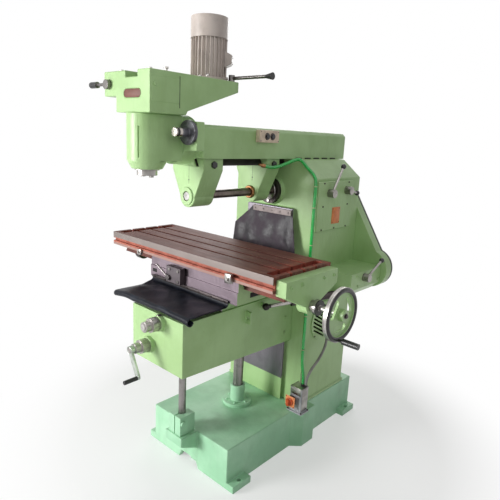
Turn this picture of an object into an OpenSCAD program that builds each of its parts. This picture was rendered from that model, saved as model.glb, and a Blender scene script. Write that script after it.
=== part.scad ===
// Knee-type milling machine with an overarm, an arbor and a motorised vertical head.
// Millimetres. +X is the operator's right, +Y runs from the operator to the column, +Z is up.
// The origin is on the floor, under the front face of the column's ways.

/* [Base] */
// Width of the base casting
base_w = 524; // [500:2:600]
// Reach of the base in front of the ways
base_front = 505; // [480:1:560]
// Reach of the base behind the ways
base_back = 519; // [490:1:580]
// Height of the base
base_h = 200; // [160:1:230]
// Wall of the base casting
base_wall = 30; // [18:1:40]
// Reach of a foot past the base's side
foot_out = 42; // [36:1:70]
// Diameter of a foundation bolt hole
foot_hole_d = 18; // [12:1:24]

/* [Column] */
// Width of the column
col_w = 504; // [480:2:520]
// Depth from the ways to the column's back
col_back = 430; // [410:1:460]
// Wall of the column casting
col_wall = 28; // [18:1:34]
// Drop from the column's top to the shoulders where its sides slope in
shoulder_drop = 85; // [60:1:95]
// Width of the column's top
top_w = 290; // [240:2:340]
// Width of the vertical ways at their front face
rail_w = 296; // [270:2:310]
// Depth of the vertical ways
rail_depth = 24; // [18:1:30]
// Diameter of the motor vent in the column's side
vent_d = 196; // [120:2:210]

/* [Drive] */
// Drop from the overarm's underside to the horizontal spindle's axis
spindle_drop = 160; // [150:1:175]
// Diameter of the milling arbor
arbor_d = 38; // [22:1:40]
// Module of the spindle gears
gear_module = 4; // [3.6:0.1:4.2]
// Diameter of the main motor's frame
motor_d = 200; // [150:2:220]
// Diameter of the pulley on the main motor
motor_pulley_d = 100; // [80:2:120]
// Diameter of the feed box pulley
feed_pulley_d = 64; // [56:2:80]

/* [Feed box] */
// Reach of the feed box from the column's side
feed_box_out = 172; // [150:1:200]
// Height of the feed box
feed_box_h = 125; // [110:1:150]
// Outer diameter of the cardan sleeve
sleeve_d = 36; // [33:1:40]
// Diameter of the cardan rod
cardan_rod_d = 18; // [12:1:19]

/* [Knee] */
// Width of the knee
knee_w = 344; // [332:2:360]
// Reach of the knee in front of the ways
knee_front = 695; // [680:1:720]
// Drop from the horizontal spindle's axis to the knee's deck
knee_drop = 482; // [470:1:495]
// Height of the knee casting at its front
knee_h = 237; // [225:1:250]
// Wall of the knee casting
knee_wall = 26; // [18:1:32]
// Diameter of the elevating screw
elevating_d = 51; // [40:1:56]
// Diameter of the sliding post
post_d = 34; // [24:1:40]
// Length of the crank's arm
crank_len = 118; // [90:1:130]

/* [Saddle and table] */
// Height from the knee's deck to the underside of the table
saddle_h = 165; // [160:1:170]
// Length of the table
table_len = 1077; // [1000:1:1200]
// Width of the table
table_w = 383; // [360:1:420]
// Thickness of the table
table_t = 65; // [60:1:75]
// Width of a T-slot's mouth
slot_w = 14; // [10:1:18]
// Distance between T-slots
slot_pitch = 84; // [70:1:95]
// Diameter of the table's lead screw
lead_d = 28; // [22:1:32]
// Diameter of the table's handwheel
wheel_d = 217; // [180:1:240]

/* [Overarm] */
// Width of the overarm
arm_w = 218; // [212:2:240]
// Height of the overarm
arm_h = 133; // [120:1:138]
// Height of the overarm's underside above the floor
arm_z = 1457; // [1450:1:1465]
// Reach of the overarm in front of the ways
arm_front = 554; // [530:1:575]
// Reach of the overarm behind the ways
arm_back = 481; // [440:1:520]

/* [Vertical head] */
// Width of the quill housing
quill_housing_w = 152; // [140:2:170]
// Width of the gear case
gear_case_w = 212; // [200:2:220]
// Height of the gear case
gear_case_h = 148; // [140:1:160]
// Diameter of the quill
quill_d = 96; // [86:1:100]
// Diameter of the vertical spindle's nose
nose_d = 78; // [70:1:84]
// Bore of the vertical spindle
nose_bore_d = 32; // [24:1:36]
// Diameter of the head motor
head_motor_d = 150; // [130:2:160]
// Height of the head motor
head_motor_h = 243; // [220:1:260]

/* [Hidden] */
$fn = 64;

// Fits: one overrun for every cut, the radial gap of a running shaft, the gap of a slide, a face or cloth gap
over = 1;
run_gap = 0.05;
slide_gap = 0.1;
face_gap = 0.3;

// Paint and metal
paint = [0.55, 0.78, 0.50];
paint_base = [0.45, 0.72, 0.52];
steel = [0.72, 0.72, 0.73];
dark_steel = [0.30, 0.29, 0.29];
black = [0.08, 0.08, 0.09];
motor_grey = [0.66, 0.63, 0.60];

// Levels that the pieces share
spindle_z = arm_z - spindle_drop;
shoulder_z = arm_z - shoulder_drop;
knee_top_z = spindle_z - knee_drop;
crank_drop = 151;
crank_z = knee_top_z - crank_drop;

// Base
base_top_t = 30;
rib_w = 40;
arch_w = 140;
arch_top_w = 100;
arch_h = 42;
foot_len = 120;
foot_h = 34;
foot_x = base_w / 2 + foot_out / 2;
foot_rows = [-base_front + foot_len / 2, base_back - foot_len / 2];
switch_block_out = 46;
switch_block_y = [-2, 98];
post_boss_w = 120;
post_boss_out = 95;
post_boss_lip = 45;
post_boss_drop = 90;
post_out = 43;
post_y = -base_front - post_out;

// Column
plinth_out = 8;
plinth_h = 16;
rail_slope = 35;
rail_root_w = rail_w - 2 * rail_depth * tan(rail_slope);
rail_top_drop = 75;
rail_top_z = spindle_z - rail_top_drop;
cavity_roof = 12;
cavity_top_z = shoulder_z - cavity_roof;
nose_boss_r = 70;
nose_boss_y = 6;
inner_boss_len = 24;
cavity_x = col_w / 2 - col_wall;
cavity_y = [rail_depth + col_wall, col_back - col_wall];
col_y = [rail_depth, col_back];
shelf_z = [470, 490];
shelf_y = [70, 320];
vent_y = 185;
vent_drop = 662;
vent_z = spindle_z - vent_drop;
vent_slots = 9;
vent_rim = 8;
vent_t = 6;
vent_slot_share = 0.5;
vent_slant = 30;

// Gear cover and its levers
cover_t = 14;
cover_y = [35, 342];
cover_span = [-177, 63];
cover_z = shift(cover_span, spindle_z);
window_y = [75, 315];
window_span = [-137, 28];
window_z = shift(window_span, spindle_z);
range_y = 127;
range_lift = 7;
range_z = spindle_z + range_lift;
speed_y = 279;
speed_lift = 15;
speed_z = spindle_z + speed_lift;
lever_shaft_r = 9;
lever_hub_r = 20;
lever_hub_len = 34;
lever_arm_r = 6;
lever_ball_r = 13;
lever_inner_len = 30;
range_arm = 150;
range_tilt = 32;
speed_arm = 81;
speed_tilt = 102;

// Spindle, gears and belts
spindle_r = 42;
spindle_mid_r = 36;
spindle_tail_r = 28;
spindle_flange_r = 64;
spindle_flange_t = 20;
front_bearing_r = 62;
rear_bearing_r = 45;
bearing_len = 36;
arbor_shank_r = 20;
arbor_shank_len = 74;
arbor_end_in = 13;
arbor_end_y = arbor_end_in - arm_front;
key_w = 16;
gear_y = [130, 166];
gear_teeth = 48;
pinion_teeth = 24;
gear_pocket_gap = 12;
gear_pocket_side = 10;
gear_r = gear_module * gear_teeth / 2;
gear_pair = gear_module * (gear_teeth + pinion_teeth) / 2;
pinion_low_angle = 8;
lay_room = 81;
pinion_angle = -max(pinion_low_angle, acos(min(1, (cavity_x - lay_room) / gear_pair)));
lay_x = gear_pair * cos(pinion_angle);
lay_z = spindle_z + gear_pair * sin(pinion_angle);
lay_r = 20;
lay_boss_r = 34;
lay_seat = 12;
lay_tail = 58;
lay_end_y = col_back + lay_tail;
pinion_extra = 2;
lay_pulley_r = 62;
feed_drive_r = 32;
belt_t = 9;
belt_gap = 0.3;
main_belt_y = [346, 370];
feed_belt_gap = 24;
feed_belt_w = 22;
feed_belt_y = [col_back + feed_belt_gap, col_back + feed_belt_gap + feed_belt_w];
pulley_cheek = 5;
motor_lift = 12;
motor_z = shelf_z[1] + motor_d / 2 + motor_lift;
motor_y = [100, 300];
motor_foot_x = 85;
motor_foot_inset = 20;
motor_foot_share = 1 / 3;
motor_shaft_r = 14;
motor_shaft_seat = 45;

// Feed box and belt guard
feed_box_x = [col_w / 2, col_w / 2 + feed_box_out];
feed_box_y = [140, col_back];
feed_box_drop = 497;
feed_box_bottom_z = spindle_z - feed_box_drop;
feed_box_z = [feed_box_bottom_z, feed_box_bottom_z + feed_box_h];
feed_box_round = 42;
feed_pulley_x = 366;
feed_pulley_drop = 22;
feed_pulley_z = feed_box_z[1] - feed_pulley_drop;
feed_shaft_r = 12;
feed_shaft_seat = 40;
feed_lever_y = 260;
feed_lever_drop = 30;
feed_lever_z = feed_box_z[1] - feed_lever_drop;
feed_lever_arm = 154;
feed_lever_tilt = 64;
feed_hole_r = 6;
feed_hole_x = 318;
feed_hole_depth = 14;
guard_bar_r = 57;
guard_low_r = 100;
guard_bar_shift = [9, 7];
guard_eye_shift = [-8, -4];
guard_bar_end = [feed_pulley_x, feed_pulley_z] + guard_bar_shift;
guard_eye = [feed_pulley_x, feed_pulley_z] + guard_eye_shift;
guard_t = 70;
guard_y = [col_back, col_back + guard_t];
guard_wall = 6;
guard_shaft_gap = 8;

// Cardan shaft: rear pivot on the feed box, front pivot on the knee
cardan_rear_x = 345;
cardan_rear_y = 105;
cardan_rear_lift = 15;
cardan_front_out = 28;
cardan_front_y = -222;
cardan_front_drop = 27;
cardan_rear = [cardan_rear_x, cardan_rear_y, feed_box_bottom_z + cardan_rear_lift];
cardan_front = [knee_w / 2 + cardan_front_out, cardan_front_y, knee_top_z - cardan_front_drop];
cardan_run = cardan_front - cardan_rear;
sleeve_ball_r = 20;
rod_ball_r = 17;
sleeve_wall = 4;
sleeve_len = 230;
rod_len = 200;
stub_r = 15;

// Elevating screw and post
screw_y = -175;
screw_bottom_z = 110;
screw_head_drop = 64;
screw_head_z = crank_z - screw_head_drop;
screw_neck_r = 15;
screw_well_r = 35;
nut_flange_r = 76;
nut_flange_t = 18;
nut_sleeve_r = 37.5;
nut_sleeve_h = 82;
nut_bolts = 6;
nut_bolt_r = 6;
nut_bolt_h = 7;
post_bottom_z = 130;
post_top_drop = 175;
post_top_z = knee_top_z - post_top_drop;
post_knee_boss_r = 32;
post_web = 24;
clamp_w = 84;
clamp_lip = 44;
clamp_gap = 1;
clamp_y = [post_y - clamp_lip, -base_front - clamp_gap];
clamp_h = 92;
clamp_slit = 5;
clamp_bolt_r = 7;
clamp_bolt_drop = 30;
clamp_head_r = 12;
clamp_head_t = 9;

// Knee
knee_x = [-knee_w / 2, knee_w / 2];
knee_bottom_z = knee_top_z - knee_h;
knee_rear_drop = 34;
knee_deck_t = 40;
knee_arm_gap = slide_gap;
knee_rail_w = 280;
knee_rail_root_w = 240;
knee_rail_h = 25;
knee_rail_y = [-600, -10];
cross_x = 28;
cross_drop = 33;
cross_z = knee_top_z - cross_drop;
cross_r = 13;
cross_slot_w = 48;
cross_slot_y = [-640, -285];
cross_end_y = -255;
crank_x = -43;
crank_r = 13;
crank_rear_y = -125;
skew_gear_r = 21.2;
skew_gear_w = 44;
front_boss_r = 38;
front_boss_t = 20;
dial_r = 30;
dial_t = 36;
dial_tip_r = 22;
dial_tip_t = 29;
web_t = 25;
web_pad = 19;
screw_boss_r = 38;
screw_boss_drop = 115;
screw_boss_z = knee_top_z - screw_boss_drop;
screw_boss_roof = 8;
crank_hub_r = 17;
crank_hub_t = 22;
crank_arm_w = 22;
crank_arm_t = 12;
crank_tilt = 28;
crank_grip_r = 9;
crank_grip_len = 62;
lug_y = -330;
lug_span = [-90, -30];
lug_z = shift(lug_span, knee_top_z);
lug_out = 30;
lug_t = 12;
lug_hole_r = 8;

// Saddle
saddle_x = [-335, 258];
saddle_y = [-480, -160];
saddle_foot_h = 50;
saddle_wing_z = knee_top_z + saddle_foot_h;
saddle_foot_w = 330;
saddle_deck_h = 107;
saddle_deck_z = knee_top_z + saddle_deck_h;
table_under_z = knee_top_z + saddle_h;
table_front_y = -517;
table_y = [table_front_y, table_front_y + table_w];
way_y = -325;
way_half = 150;
table_way_root = 95;
table_way_foot = 118;
table_way_h = 48;
lead_drop = 73;
lead_z = table_under_z - lead_drop;
lead_channel_w = 60;
lead_channel_floor = 21;
cross_nut_y = [-425, -375];
cross_nut_w = 40;
cross_nut_drop = 18;
lead_nut_x = [-70, -10];
trip_x = [-175, -75];
trip_span = [65, 140];
trip_z = shift(trip_span, knee_top_z);
trip_out = 30;
trip_pin_r = 6;
trip_pin_in = 20;
trip_pin_lift = 22;
trip_pin_x = trip_x[0] + trip_pin_in;
trip_pin_z = trip_z[0] + trip_pin_lift;
trip_arm_r = 5;
trip_arm_len = 95;
trip_arm_tilt = 62;
trip_boss_r = 13;
trip_boss_t = 12;

// Table
table_left_x = -605;
table_x = [table_left_x, table_left_x + table_len];
slot_depth = 32;
slot_ledge = 5.5;
slot_foot_w = slot_w + 2 * slot_ledge;
slot_foot_h = 11;
trough_w = 40;
trough_inset = 22;
trough_side = 26;
trough_depth = 16;
front_groove_lift = 20;
front_groove_h = 13;
front_groove_depth = 12;
bracket_t = 50;
bracket_top_drop = 12;
bracket_side = 18;
bracket_skirt = 62;
bracket_boss_r = 38;
left_bracket_t = 36;
left_bracket_side = 90;
collar_r = 24;
collar_t = 20;
table_dial_r = 32;
table_dial_t = 18;
wheel_shaft_r = 11;
wheel_out = 185;
wheel_x = table_x[1] + wheel_out;
wheel_rim_r = 11;
wheel_hub_r = 24;
wheel_hub_t = 42;
wheel_web_t = 9;
wheel_dish = 10;
wheel_hole_r = 13;
wheel_hole_span = 26;
wheel_holes = 3;
wheel_handle_angle = -99;
wheel_handle_r = 12;
wheel_handle_len = 68;
wheel_pin_r = 7;
wheel_pin_len = 16;
lead_tail = 8;

// Overarm and arbor supports
arm_chamfer = 16;
tongue_w = 100;
tongue_foot_w = 132;
tongue_h = 32;
swivel_lift = 69;
swivel_z = arm_z + swivel_lift;
swivel_r = 96;
swivel_boss_t = 12;
support_w = 196;
support_boss_r = 47;
support_skirt = 50;
front_support_in = 14;
front_support_t = 110;
front_support_y = [front_support_in - arm_front, front_support_in + front_support_t - arm_front];
rear_support_y = [-150, -60];
support_bolt_r = 9;
support_bolt_t = 10;
button_box_y = [-250, -118];
button_box_span = [72, 126];
button_box_z = shift(button_box_span, arm_z);
button_box_t = 26;
button_r = 11;
button_t = 8;
button_stem_r = 6;
button_stem_len = 12;
start_y = -202;
stop_y = -166;

// Vertical head
quill_y = -741;
housing_span = [-81, 91];
housing_z = shift(housing_span, swivel_z);
housing_back_y = -632;
cone_h = 32;
cone_bottom_z = housing_z[0] - cone_h;
cone_bottom_r = 58;
swivel_y = [housing_back_y - over, -arm_front - swivel_boss_t - face_gap];
quill_lip = 4;
quill_len = 191;
quill_z = [cone_bottom_z - quill_lip, cone_bottom_z - quill_lip + quill_len];
quill_bore_r = 30;
spindle_tail = 60;
spindle_top_z = quill_z[1] + spindle_tail;
spindle_room = 32;
spindle_room_z = spindle_top_z + spindle_room;
spindle_room_r = 36;
nose_t = 19.7;
nose_z = [quill_z[0] - face_gap - nose_t, quill_z[0] - face_gap];
nose_bore_len = 90;
nose_key_w = 14;
nose_key_h = 7;
nose_key_share = 1 / 3;
case_front_y = -806;
case_top_z = housing_z[1] + gear_case_h;
case_back_y = -364;
case_tail_h = 41;
case_tail_z = case_top_z - case_tail_h;
case_knuckle_len = 8;
case_knuckle_y = [housing_back_y - case_knuckle_len, housing_back_y];
case_knuckle_h = 15;
case_knuckle_z = housing_z[1] + case_knuckle_h;
left_case_x = -184;
left_case_y = -700;
left_case_drop = 90;
notch_x = [-43, 33];
notch_depth = 24;
notch_len = 60;
pane_x = [-55, 52];
pane_span = [52, 83];
pane_z = shift(pane_span, housing_z[1]);
pane_depth = 4;
stop_slot_w = 5;
stop_slot_turn = 30;
stop_slot_span = [13, 125];
stop_slot_z = shift(stop_slot_span, housing_z[0]);
stop_slot_depth = 6;
head_motor_y = -437;
motor_flange_lip = 9;
motor_flange_r = head_motor_d / 2 + motor_flange_lip;
motor_flange_t = 12;
motor_cowl_h = 82;
motor_fins = 28;
fin_depth = 9;
fin_t = 3;
terminal_w = 62;
terminal_h = 62;
terminal_out = 20;
terminal_lift = 54;
terminal_slant = 14;
terminal_turn = 42;
quill_wheel_x = 124;
quill_wheel_lift = 29;
quill_wheel_z = swivel_z + quill_wheel_lift;
quill_wheel_r = 46;
quill_wheel_gap = 4;
quill_wheel_t = 16;
quill_wheel_y = shift([-quill_wheel_t, 0], housing_back_y - quill_wheel_gap);
quill_hub_r = 17;
quill_hub_y = -712;
quill_shaft_r = 10;
bearing_block_w = 84;
bearing_block_x = [quill_housing_w / 2, quill_housing_w / 2 + bearing_block_w];
bearing_block_t = 38;
bearing_block_y = [housing_back_y - over, housing_back_y + bearing_block_t];
bearing_block_span = [-38, 70];
bearing_block_z = shift(bearing_block_span, swivel_z);
head_lever_x = -152;
head_lever_drop = 47;
head_lever_z = case_top_z - head_lever_drop;
head_lever_arm = 112;
head_lever_hub_r = 18;
head_lever_hub_t = 16;
head_lever_grip_r = 12;
head_lever_grip_len = 46;
motor_lever_back = 52;
motor_lever_x = motor_flange_r;
motor_lever_y = head_motor_y + motor_lever_back;
motor_lever_len = 219;
motor_lever_r = 7;
motor_lever_hub_r = 13;
motor_lever_hub_t = 26;
motor_lever_knob_r = 14;
motor_lever_knob_len = 34;
motor_lever_pin_r = 6;
motor_lever_pin_len = 30;

// Isolator
switch_gap = 2;
switch_x = max(base_w / 2, col_w / 2 + plinth_out + switch_gap) + switch_block_out;
isolator_w = 70;
isolator_len = 58;
isolator_h = 134;
isolator_x = [switch_x - isolator_w, switch_x];
isolator_y = [rail_depth - switch_gap - isolator_len, rail_depth - switch_gap];
isolator_z = [base_h, base_h + isolator_h];
isolator_flange_out = 12;
isolator_flange_t = 6;
isolator_neck_w = 36;
isolator_neck_len = 20;
isolator_plate_w = 58;
isolator_plate_t = 4;
isolator_knob_in = 18;
isolator_knob_x = isolator_x[0] + isolator_knob_in;
isolator_knob_lift = 60;
isolator_knob_z = base_h + isolator_knob_lift;
isolator_face_y = isolator_y[0] - isolator_neck_len - isolator_plate_t;
isolator_shaft_r = 6;
isolator_shaft_len = 40;
isolator_disc_r = 20;
isolator_disc_t = 8;
isolator_grip_w = 12;
isolator_grip_t = 14;

// Way cover and apron
strip_left_in = 48;
strip_right_in = 2;
strip_top_in = 8;
strip_h = 28;
strip_x = [strip_left_in - rail_w / 2, rail_w / 2 - strip_right_in];
strip_z = [rail_top_z - strip_top_in - strip_h, rail_top_z - strip_top_in];
strip_t = 6;
way_cover_t = 4;
way_cover_len = 214;
way_cover_bottom_z = strip_z[1] - way_cover_len;
way_cover_left_out = 74;
way_cover_right_out = 50;
way_cover_left = -rail_w / 2 - way_cover_left_out;
way_cover_right = rail_w / 2 + way_cover_right_out;
way_cover_sag = 22;
way_cover_fold = 9;
way_cover_folds = 6;
way_cover_shoulder_share = 0.5;
way_cover_flat_share = 1 / 6;
way_cover_steps = [28, 12];
apron_left_in = 23;
apron_right_in = 46;
apron_x = [saddle_x[0] + apron_left_in, saddle_x[1] - apron_right_in];
apron_t = 6;
apron_lift = 10;
apron_z = knee_top_z + knee_rail_h + apron_lift;
apron_reach = 210;
apron_roll_r = 12;
apron_strip_h = 10;
apron_bend_r = 16;
apron_droop = 12;
apron_steps = 12;
apron_arc_step = 30;
apron_mid_shares = [0.25, 0.5, 0.75];

// Routes of the green hose and the grey cable, hand-chosen points
hose_r = 8;
hose_route = [[281, 8, 335], [281, 8, 356], [278, 9, 388], [266, 14, 430], [259, 17, 480], [259, 17, 620],
    [259, 17, 780], [259, 17, 940], [259, 17, 1100], [259, 17, 1260], [259, 17, 1350], [248, 16, 1388],
    [206, 15, 1423],
    [168, 14, 1454], [142, 0, 1454], [126, -40, 1438], [120, -90, 1424], [120, -145, 1420], [120, -200, 1428]];
cable_r = 7;
cable_route = [[299, 8, 335], [299, 8, 356], [300, 16, 386], [304, 44, 424], [308, 92, 462], [304, 142, 506],
    [292, 176, 545], [280, 186, 570], [266, 190, 590]];
route_steps = 3;
hose_sides = 10;

// Helpers: spans are pairs of a low and a high value
function grow(s, d) = [s[0] - d, s[1] + d];
function shift(s, d) = [s[0] + d, s[1] + d];
function mid(s) = (s[0] + s[1]) / 2;
function both(h) = [-h, h];
function unit(v) = v / norm(v);
function along(a, b, t) = a + (b - a) * t;

module block(x, y, z) {
    translate([x[0], y[0], z[0]]) cube([x[1] - x[0], y[1] - y[0], z[1] - z[0]]);
}
module bar_x(r, x, y, z) {
    translate([x[0], y, z]) rotate([0, 90, 0]) cylinder(r = r, h = x[1] - x[0]);
}
module bar_y(r, x, y, z) {
    translate([x, y[1], z]) rotate([90, 0, 0]) cylinder(r = r, h = y[1] - y[0]);
}
module bar_z(r, x, y, z) {
    translate([x, y, z[0]]) cylinder(r = r, h = z[1] - z[0]);
}
// An outline drawn in Y and Z, thickened along X
module plate_x(x) {
    translate([x[0], 0, 0]) rotate([90, 0, 90]) linear_extrude(x[1] - x[0]) children();
}
// An outline drawn in X and Z, thickened along Y
module plate_y(y) {
    translate([0, y[1], 0]) rotate([90, 0, 0]) linear_extrude(y[1] - y[0]) children();
}
module plate_z(z) {
    translate([0, 0, z[0]]) linear_extrude(z[1] - z[0]) children();
}
module both_sides() {
    children();
    mirror([1, 0, 0]) children();
}
// A dovetail's outline: centre, half width at its root and at its foot, root level and foot level
module dovetail(c, root, foot, z_root, z_foot, gap) {
    d = sign(z_foot - z_root);
    side = concat([[root + gap, z_root - d * over], [root + gap, z_root], [foot + gap, z_foot]],
        gap > 0 ? [[foot + gap, z_foot + d * gap]] : []);
    polygon(concat([for (p = side) [c + p[0], p[1]]],
        [for (i = [len(side) - 1 : -1 : 0]) [c - side[i][0], side[i][1]]]));
}

// Swept round tube through smoothed route points
function spline_point(a, b, c, d, t) =
    (2 * b + (c - a) * t + (2 * a - 5 * b + 4 * c - d) * t * t + (3 * b - a - 3 * c + d) * t * t * t) / 2;
function smooth(p, steps) = concat([for (i = [0 : len(p) - 2]) for (k = [0 : steps - 1])
    spline_point(p[max(i - 1, 0)], p[i], p[i + 1], p[min(i + 2, len(p) - 1)], k / steps)], [p[len(p) - 1]]);
function tangent(p, i) = unit(p[min(i + 1, len(p) - 1)] - p[max(i - 1, 0)]);
function square_to(n, t) = unit(n - (n * t) * t);
function normals(p, first) = [for (i = 0, n = square_to(first, tangent(p, 0)); i < len(p);
    i = i + 1, n = i < len(p) ? square_to(n, tangent(p, i)) : n) n];
module tube(route, r, sides, first) {
    p = smooth(route, route_steps);
    n = normals(p, first);
    last = (len(p) - 1) * sides;
    points = [for (i = [0 : len(p) - 1]) let (b = cross(tangent(p, i), n[i])) for (k = [0 : sides - 1])
        p[i] + r * (cos(360 * k / sides) * n[i] + sin(360 * k / sides) * b)];
    walls = [for (i = [0 : len(p) - 2]) for (k = [0 : sides - 1])
        let (a = i * sides + k, b = i * sides + (k + 1) % sides)
        each [[a, a + sides, b + sides], [a, b + sides, b]]];
    caps = [for (k = [1 : sides - 2]) each [[0, k, k + 1], [last, last + k + 1, last + k]]];
    polyhedron(points, concat(walls, caps));
}
// A closed sheet between two grids of points, rows by columns, front grid first
module sheet(front, back) {
    rows = len(front);
    cols = len(front[0]);
    n = rows * cols;
    points = concat([for (r = front) each r], [for (r = back) each r]);
    skin = [for (i = [0 : rows - 2]) for (k = [0 : cols - 2])
        let (a = i * cols + k, b = a + 1, c = a + cols, d = c + 1)
        each [[a, b, d], [a, d, c], [n + a, n + d, n + b], [n + a, n + c, n + d]]];
    side_edges = [for (i = [0 : rows - 2]) for (s = [0, 1])
        let (a = i * cols + s * (cols - 1), c = a + cols)
        each s == 0 ? [[a, c, n + c], [a, n + c, n + a]] : [[a, n + c, c], [a, n + a, n + c]]];
    end_edges = [for (k = [0 : cols - 2]) for (s = [0, 1])
        let (a = s * (rows - 1) * cols + k, b = a + 1)
        each s == 0 ? [[a, n + b, b], [a, n + a, n + b]] : [[a, b, n + b], [a, n + b, n + a]]];
    polyhedron(points, concat(skin, side_edges, end_edges));
}
// A spur gear's outline, with straight flanks and slack for backlash
tooth_top_share = 0.11;
tooth_root_share = 0.26;
addendum_share = 0.8;
dedendum_share = 1.2;
module gear_outline(teeth, turn) {
    pitch_r = gear_module * teeth / 2;
    root_r = pitch_r - gear_module * dedendum_share;
    tip_r = pitch_r + gear_module * addendum_share;
    step = 360 / teeth;
    polygon([for (i = [0 : teeth - 1]) for (c = [[root_r, -tooth_root_share], [tip_r, -tooth_top_share],
        [tip_r, tooth_top_share], [root_r, tooth_root_share]])
        c[0] * [cos(step * (i + c[1]) + turn), sin(step * (i + c[1]) + turn)]]);
}
// A flat pulley with two cheeks, along Y
module pulley(r, x, y, z) {
    bar_y(r, x, y, z);
    bar_y(r + pulley_cheek, x, [y[0] - pulley_cheek, y[0]], z);
    bar_y(r + pulley_cheek, x, [y[1], y[1] + pulley_cheek], z);
}
// A belt loop round two pulleys, drawn in X and Z
module belt_loop(a, ra, b, rb) {
    difference() {
        hull() {
            translate(a) circle(r = ra + belt_gap + belt_t, $fn = 32);
            translate(b) circle(r = rb + belt_gap + belt_t, $fn = 32);
        }
        hull() {
            translate(a) circle(r = ra + belt_gap * 2, $fn = 32);
            translate(b) circle(r = rb + belt_gap * 2, $fn = 32);
        }
    }
}
// A hand lever on the right side: a shaft along X, a hub, an arm that leans to +Y from upright, and a ball
module side_lever(x, y, z, arm, tilt) {
    bar_x(lever_shaft_r, [x - lever_inner_len, x + over], y, z);
    bar_x(lever_hub_r, [x + face_gap, x + lever_hub_len], y, z);
    translate([x + lever_hub_len / 2, y, z]) rotate([-tilt, 0, 0]) {
        cylinder(r = lever_arm_r, h = arm);
        translate([0, 0, arm]) sphere(r = lever_ball_r);
    }
}
// Carries a shape drawn up the Z axis to a pivot, pointing along a direction
module aim(from, dir) {
    translate(from) rotate([0, acos(dir[2] / norm(dir)), atan2(dir[1], dir[0])]) children();
}

module base_casting() {
    color(paint_base) difference() {
        union() {
            block(both(base_w / 2), [-base_front, base_back], [0, base_h]);
            both_sides() for (y = foot_rows)
                block([base_w / 2 - over, base_w / 2 + foot_out], both(foot_len / 2) + [y, y], [0, foot_h]);
            plate_z([0, base_h]) polygon([[base_w / 2 - over, switch_block_y[0] - switch_block_out],
                [switch_x, switch_block_y[0]], [switch_x, switch_block_y[1]],
                [base_w / 2 - over, switch_block_y[1]]]);
            plate_x(both(post_boss_w / 2)) polygon([[-base_front + over, base_h],
                [-base_front - post_boss_out, base_h], [-base_front - post_boss_out, base_h - post_boss_lip],
                [-base_front + over, base_h - post_boss_drop]]);
        }
        both_sides() block([rib_w / 2, base_w / 2 - base_wall],
            [-base_front + base_wall, base_back - base_wall],
            [-over, base_h - base_top_t]);
        plate_y([-base_front - over, -base_front + base_wall + over]) polygon([[-arch_w / 2, -over],
            [arch_w / 2, -over], [arch_top_w / 2, arch_h], [-arch_top_w / 2, arch_h]]);
        both_sides() for (y = foot_rows) bar_z(foot_hole_d / 2, foot_x, y, grow([0, foot_h], over));
        bar_z(screw_well_r, 0, screw_y, grow([0, base_h], over));
        bar_z(post_d / 2 + face_gap, 0, post_y, grow([0, base_h], over));
    }
}

module column_casting() {
    half = col_w / 2;
    color(paint) difference() {
        union() {
            difference() {
                union() {
                    plate_y(col_y) polygon([[-half, base_h], [half, base_h], [half, shoulder_z],
                        [top_w / 2, arm_z - slide_gap], [-top_w / 2, arm_z - slide_gap], [-half, shoulder_z]]);
                    block(both(half + plinth_out), [rail_depth, col_back + plinth_out],
                        [base_h, base_h + plinth_h]);
                }
                block(both(cavity_x), cavity_y, [base_h - over, cavity_top_z]);
                block(both(gear_r + gear_pocket_gap), grow(gear_y, gear_pocket_side),
                    [spindle_z, spindle_z + gear_r + gear_pocket_gap]);
            }
            plate_z([base_h, rail_top_z]) polygon([[-rail_root_w / 2, rail_depth + over],
                [-rail_root_w / 2, rail_depth], [-rail_w / 2, 0], [rail_w / 2, 0],
                [rail_root_w / 2, rail_depth], [rail_root_w / 2, rail_depth + over]]);
            bar_y(nose_boss_r, 0, [nose_boss_y, rail_depth + over], spindle_z);
            bar_y(front_bearing_r + col_wall / 2, 0, [cavity_y[0] - over, cavity_y[0] + inner_boss_len],
                spindle_z);
            bar_y(lay_boss_r, lay_x, [cavity_y[0] - over, cavity_y[0] + inner_boss_len], lay_z);
            block(both(cavity_x + over), shelf_y, shelf_z);
        }
        bar_y(front_bearing_r, 0, grow([nose_boss_y, cavity_y[0] + inner_boss_len], over), spindle_z);
        bar_y(rear_bearing_r, 0, grow([cavity_y[1], col_back], over), spindle_z);
        bar_y(lay_r + run_gap, lay_x, [cavity_y[0] - lay_seat, cavity_y[0] + inner_boss_len + over], lay_z);
        bar_y(lay_r + run_gap, lay_x, grow([cavity_y[1], col_back], over), lay_z);
        plate_y(grow(col_y, over)) dovetail(0, tongue_w / 2, tongue_foot_w / 2, arm_z, arm_z - tongue_h,
            slide_gap);
        bar_x(vent_d / 2, grow([cavity_x, half], over), vent_y, vent_z);
        block(grow([cavity_x, half], over), window_y, window_z);
    }
}

module gear_cover() {
    x = [col_w / 2, col_w / 2 + cover_t];
    color(paint) difference() {
        block(x, cover_y, cover_z);
        bar_x(lever_shaft_r + run_gap, grow(x, over), range_y, range_z);
        bar_x(lever_shaft_r + run_gap, grow(x, over), speed_y, speed_z);
    }
}

module vent_grille() {
    x = [col_w / 2, col_w / 2 + vent_t];
    slot_r = vent_d / 2 - vent_rim;
    pitch = 2 * slot_r / (vent_slots + 1);
    color(paint) difference() {
        bar_x(vent_d / 2 + vent_rim, x, vent_y, vent_z);
        for (i = [1 : vent_slots]) {
            off = -slot_r + i * pitch;
            chord = sqrt(slot_r * slot_r - off * off);
            translate([0, vent_y, vent_z]) rotate([-vent_slant, 0, 0])
                block(grow(x, over), both(chord), [off - pitch * vent_slot_share / 2,
                    off + pitch * vent_slot_share / 2]);
        }
    }
}

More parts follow.
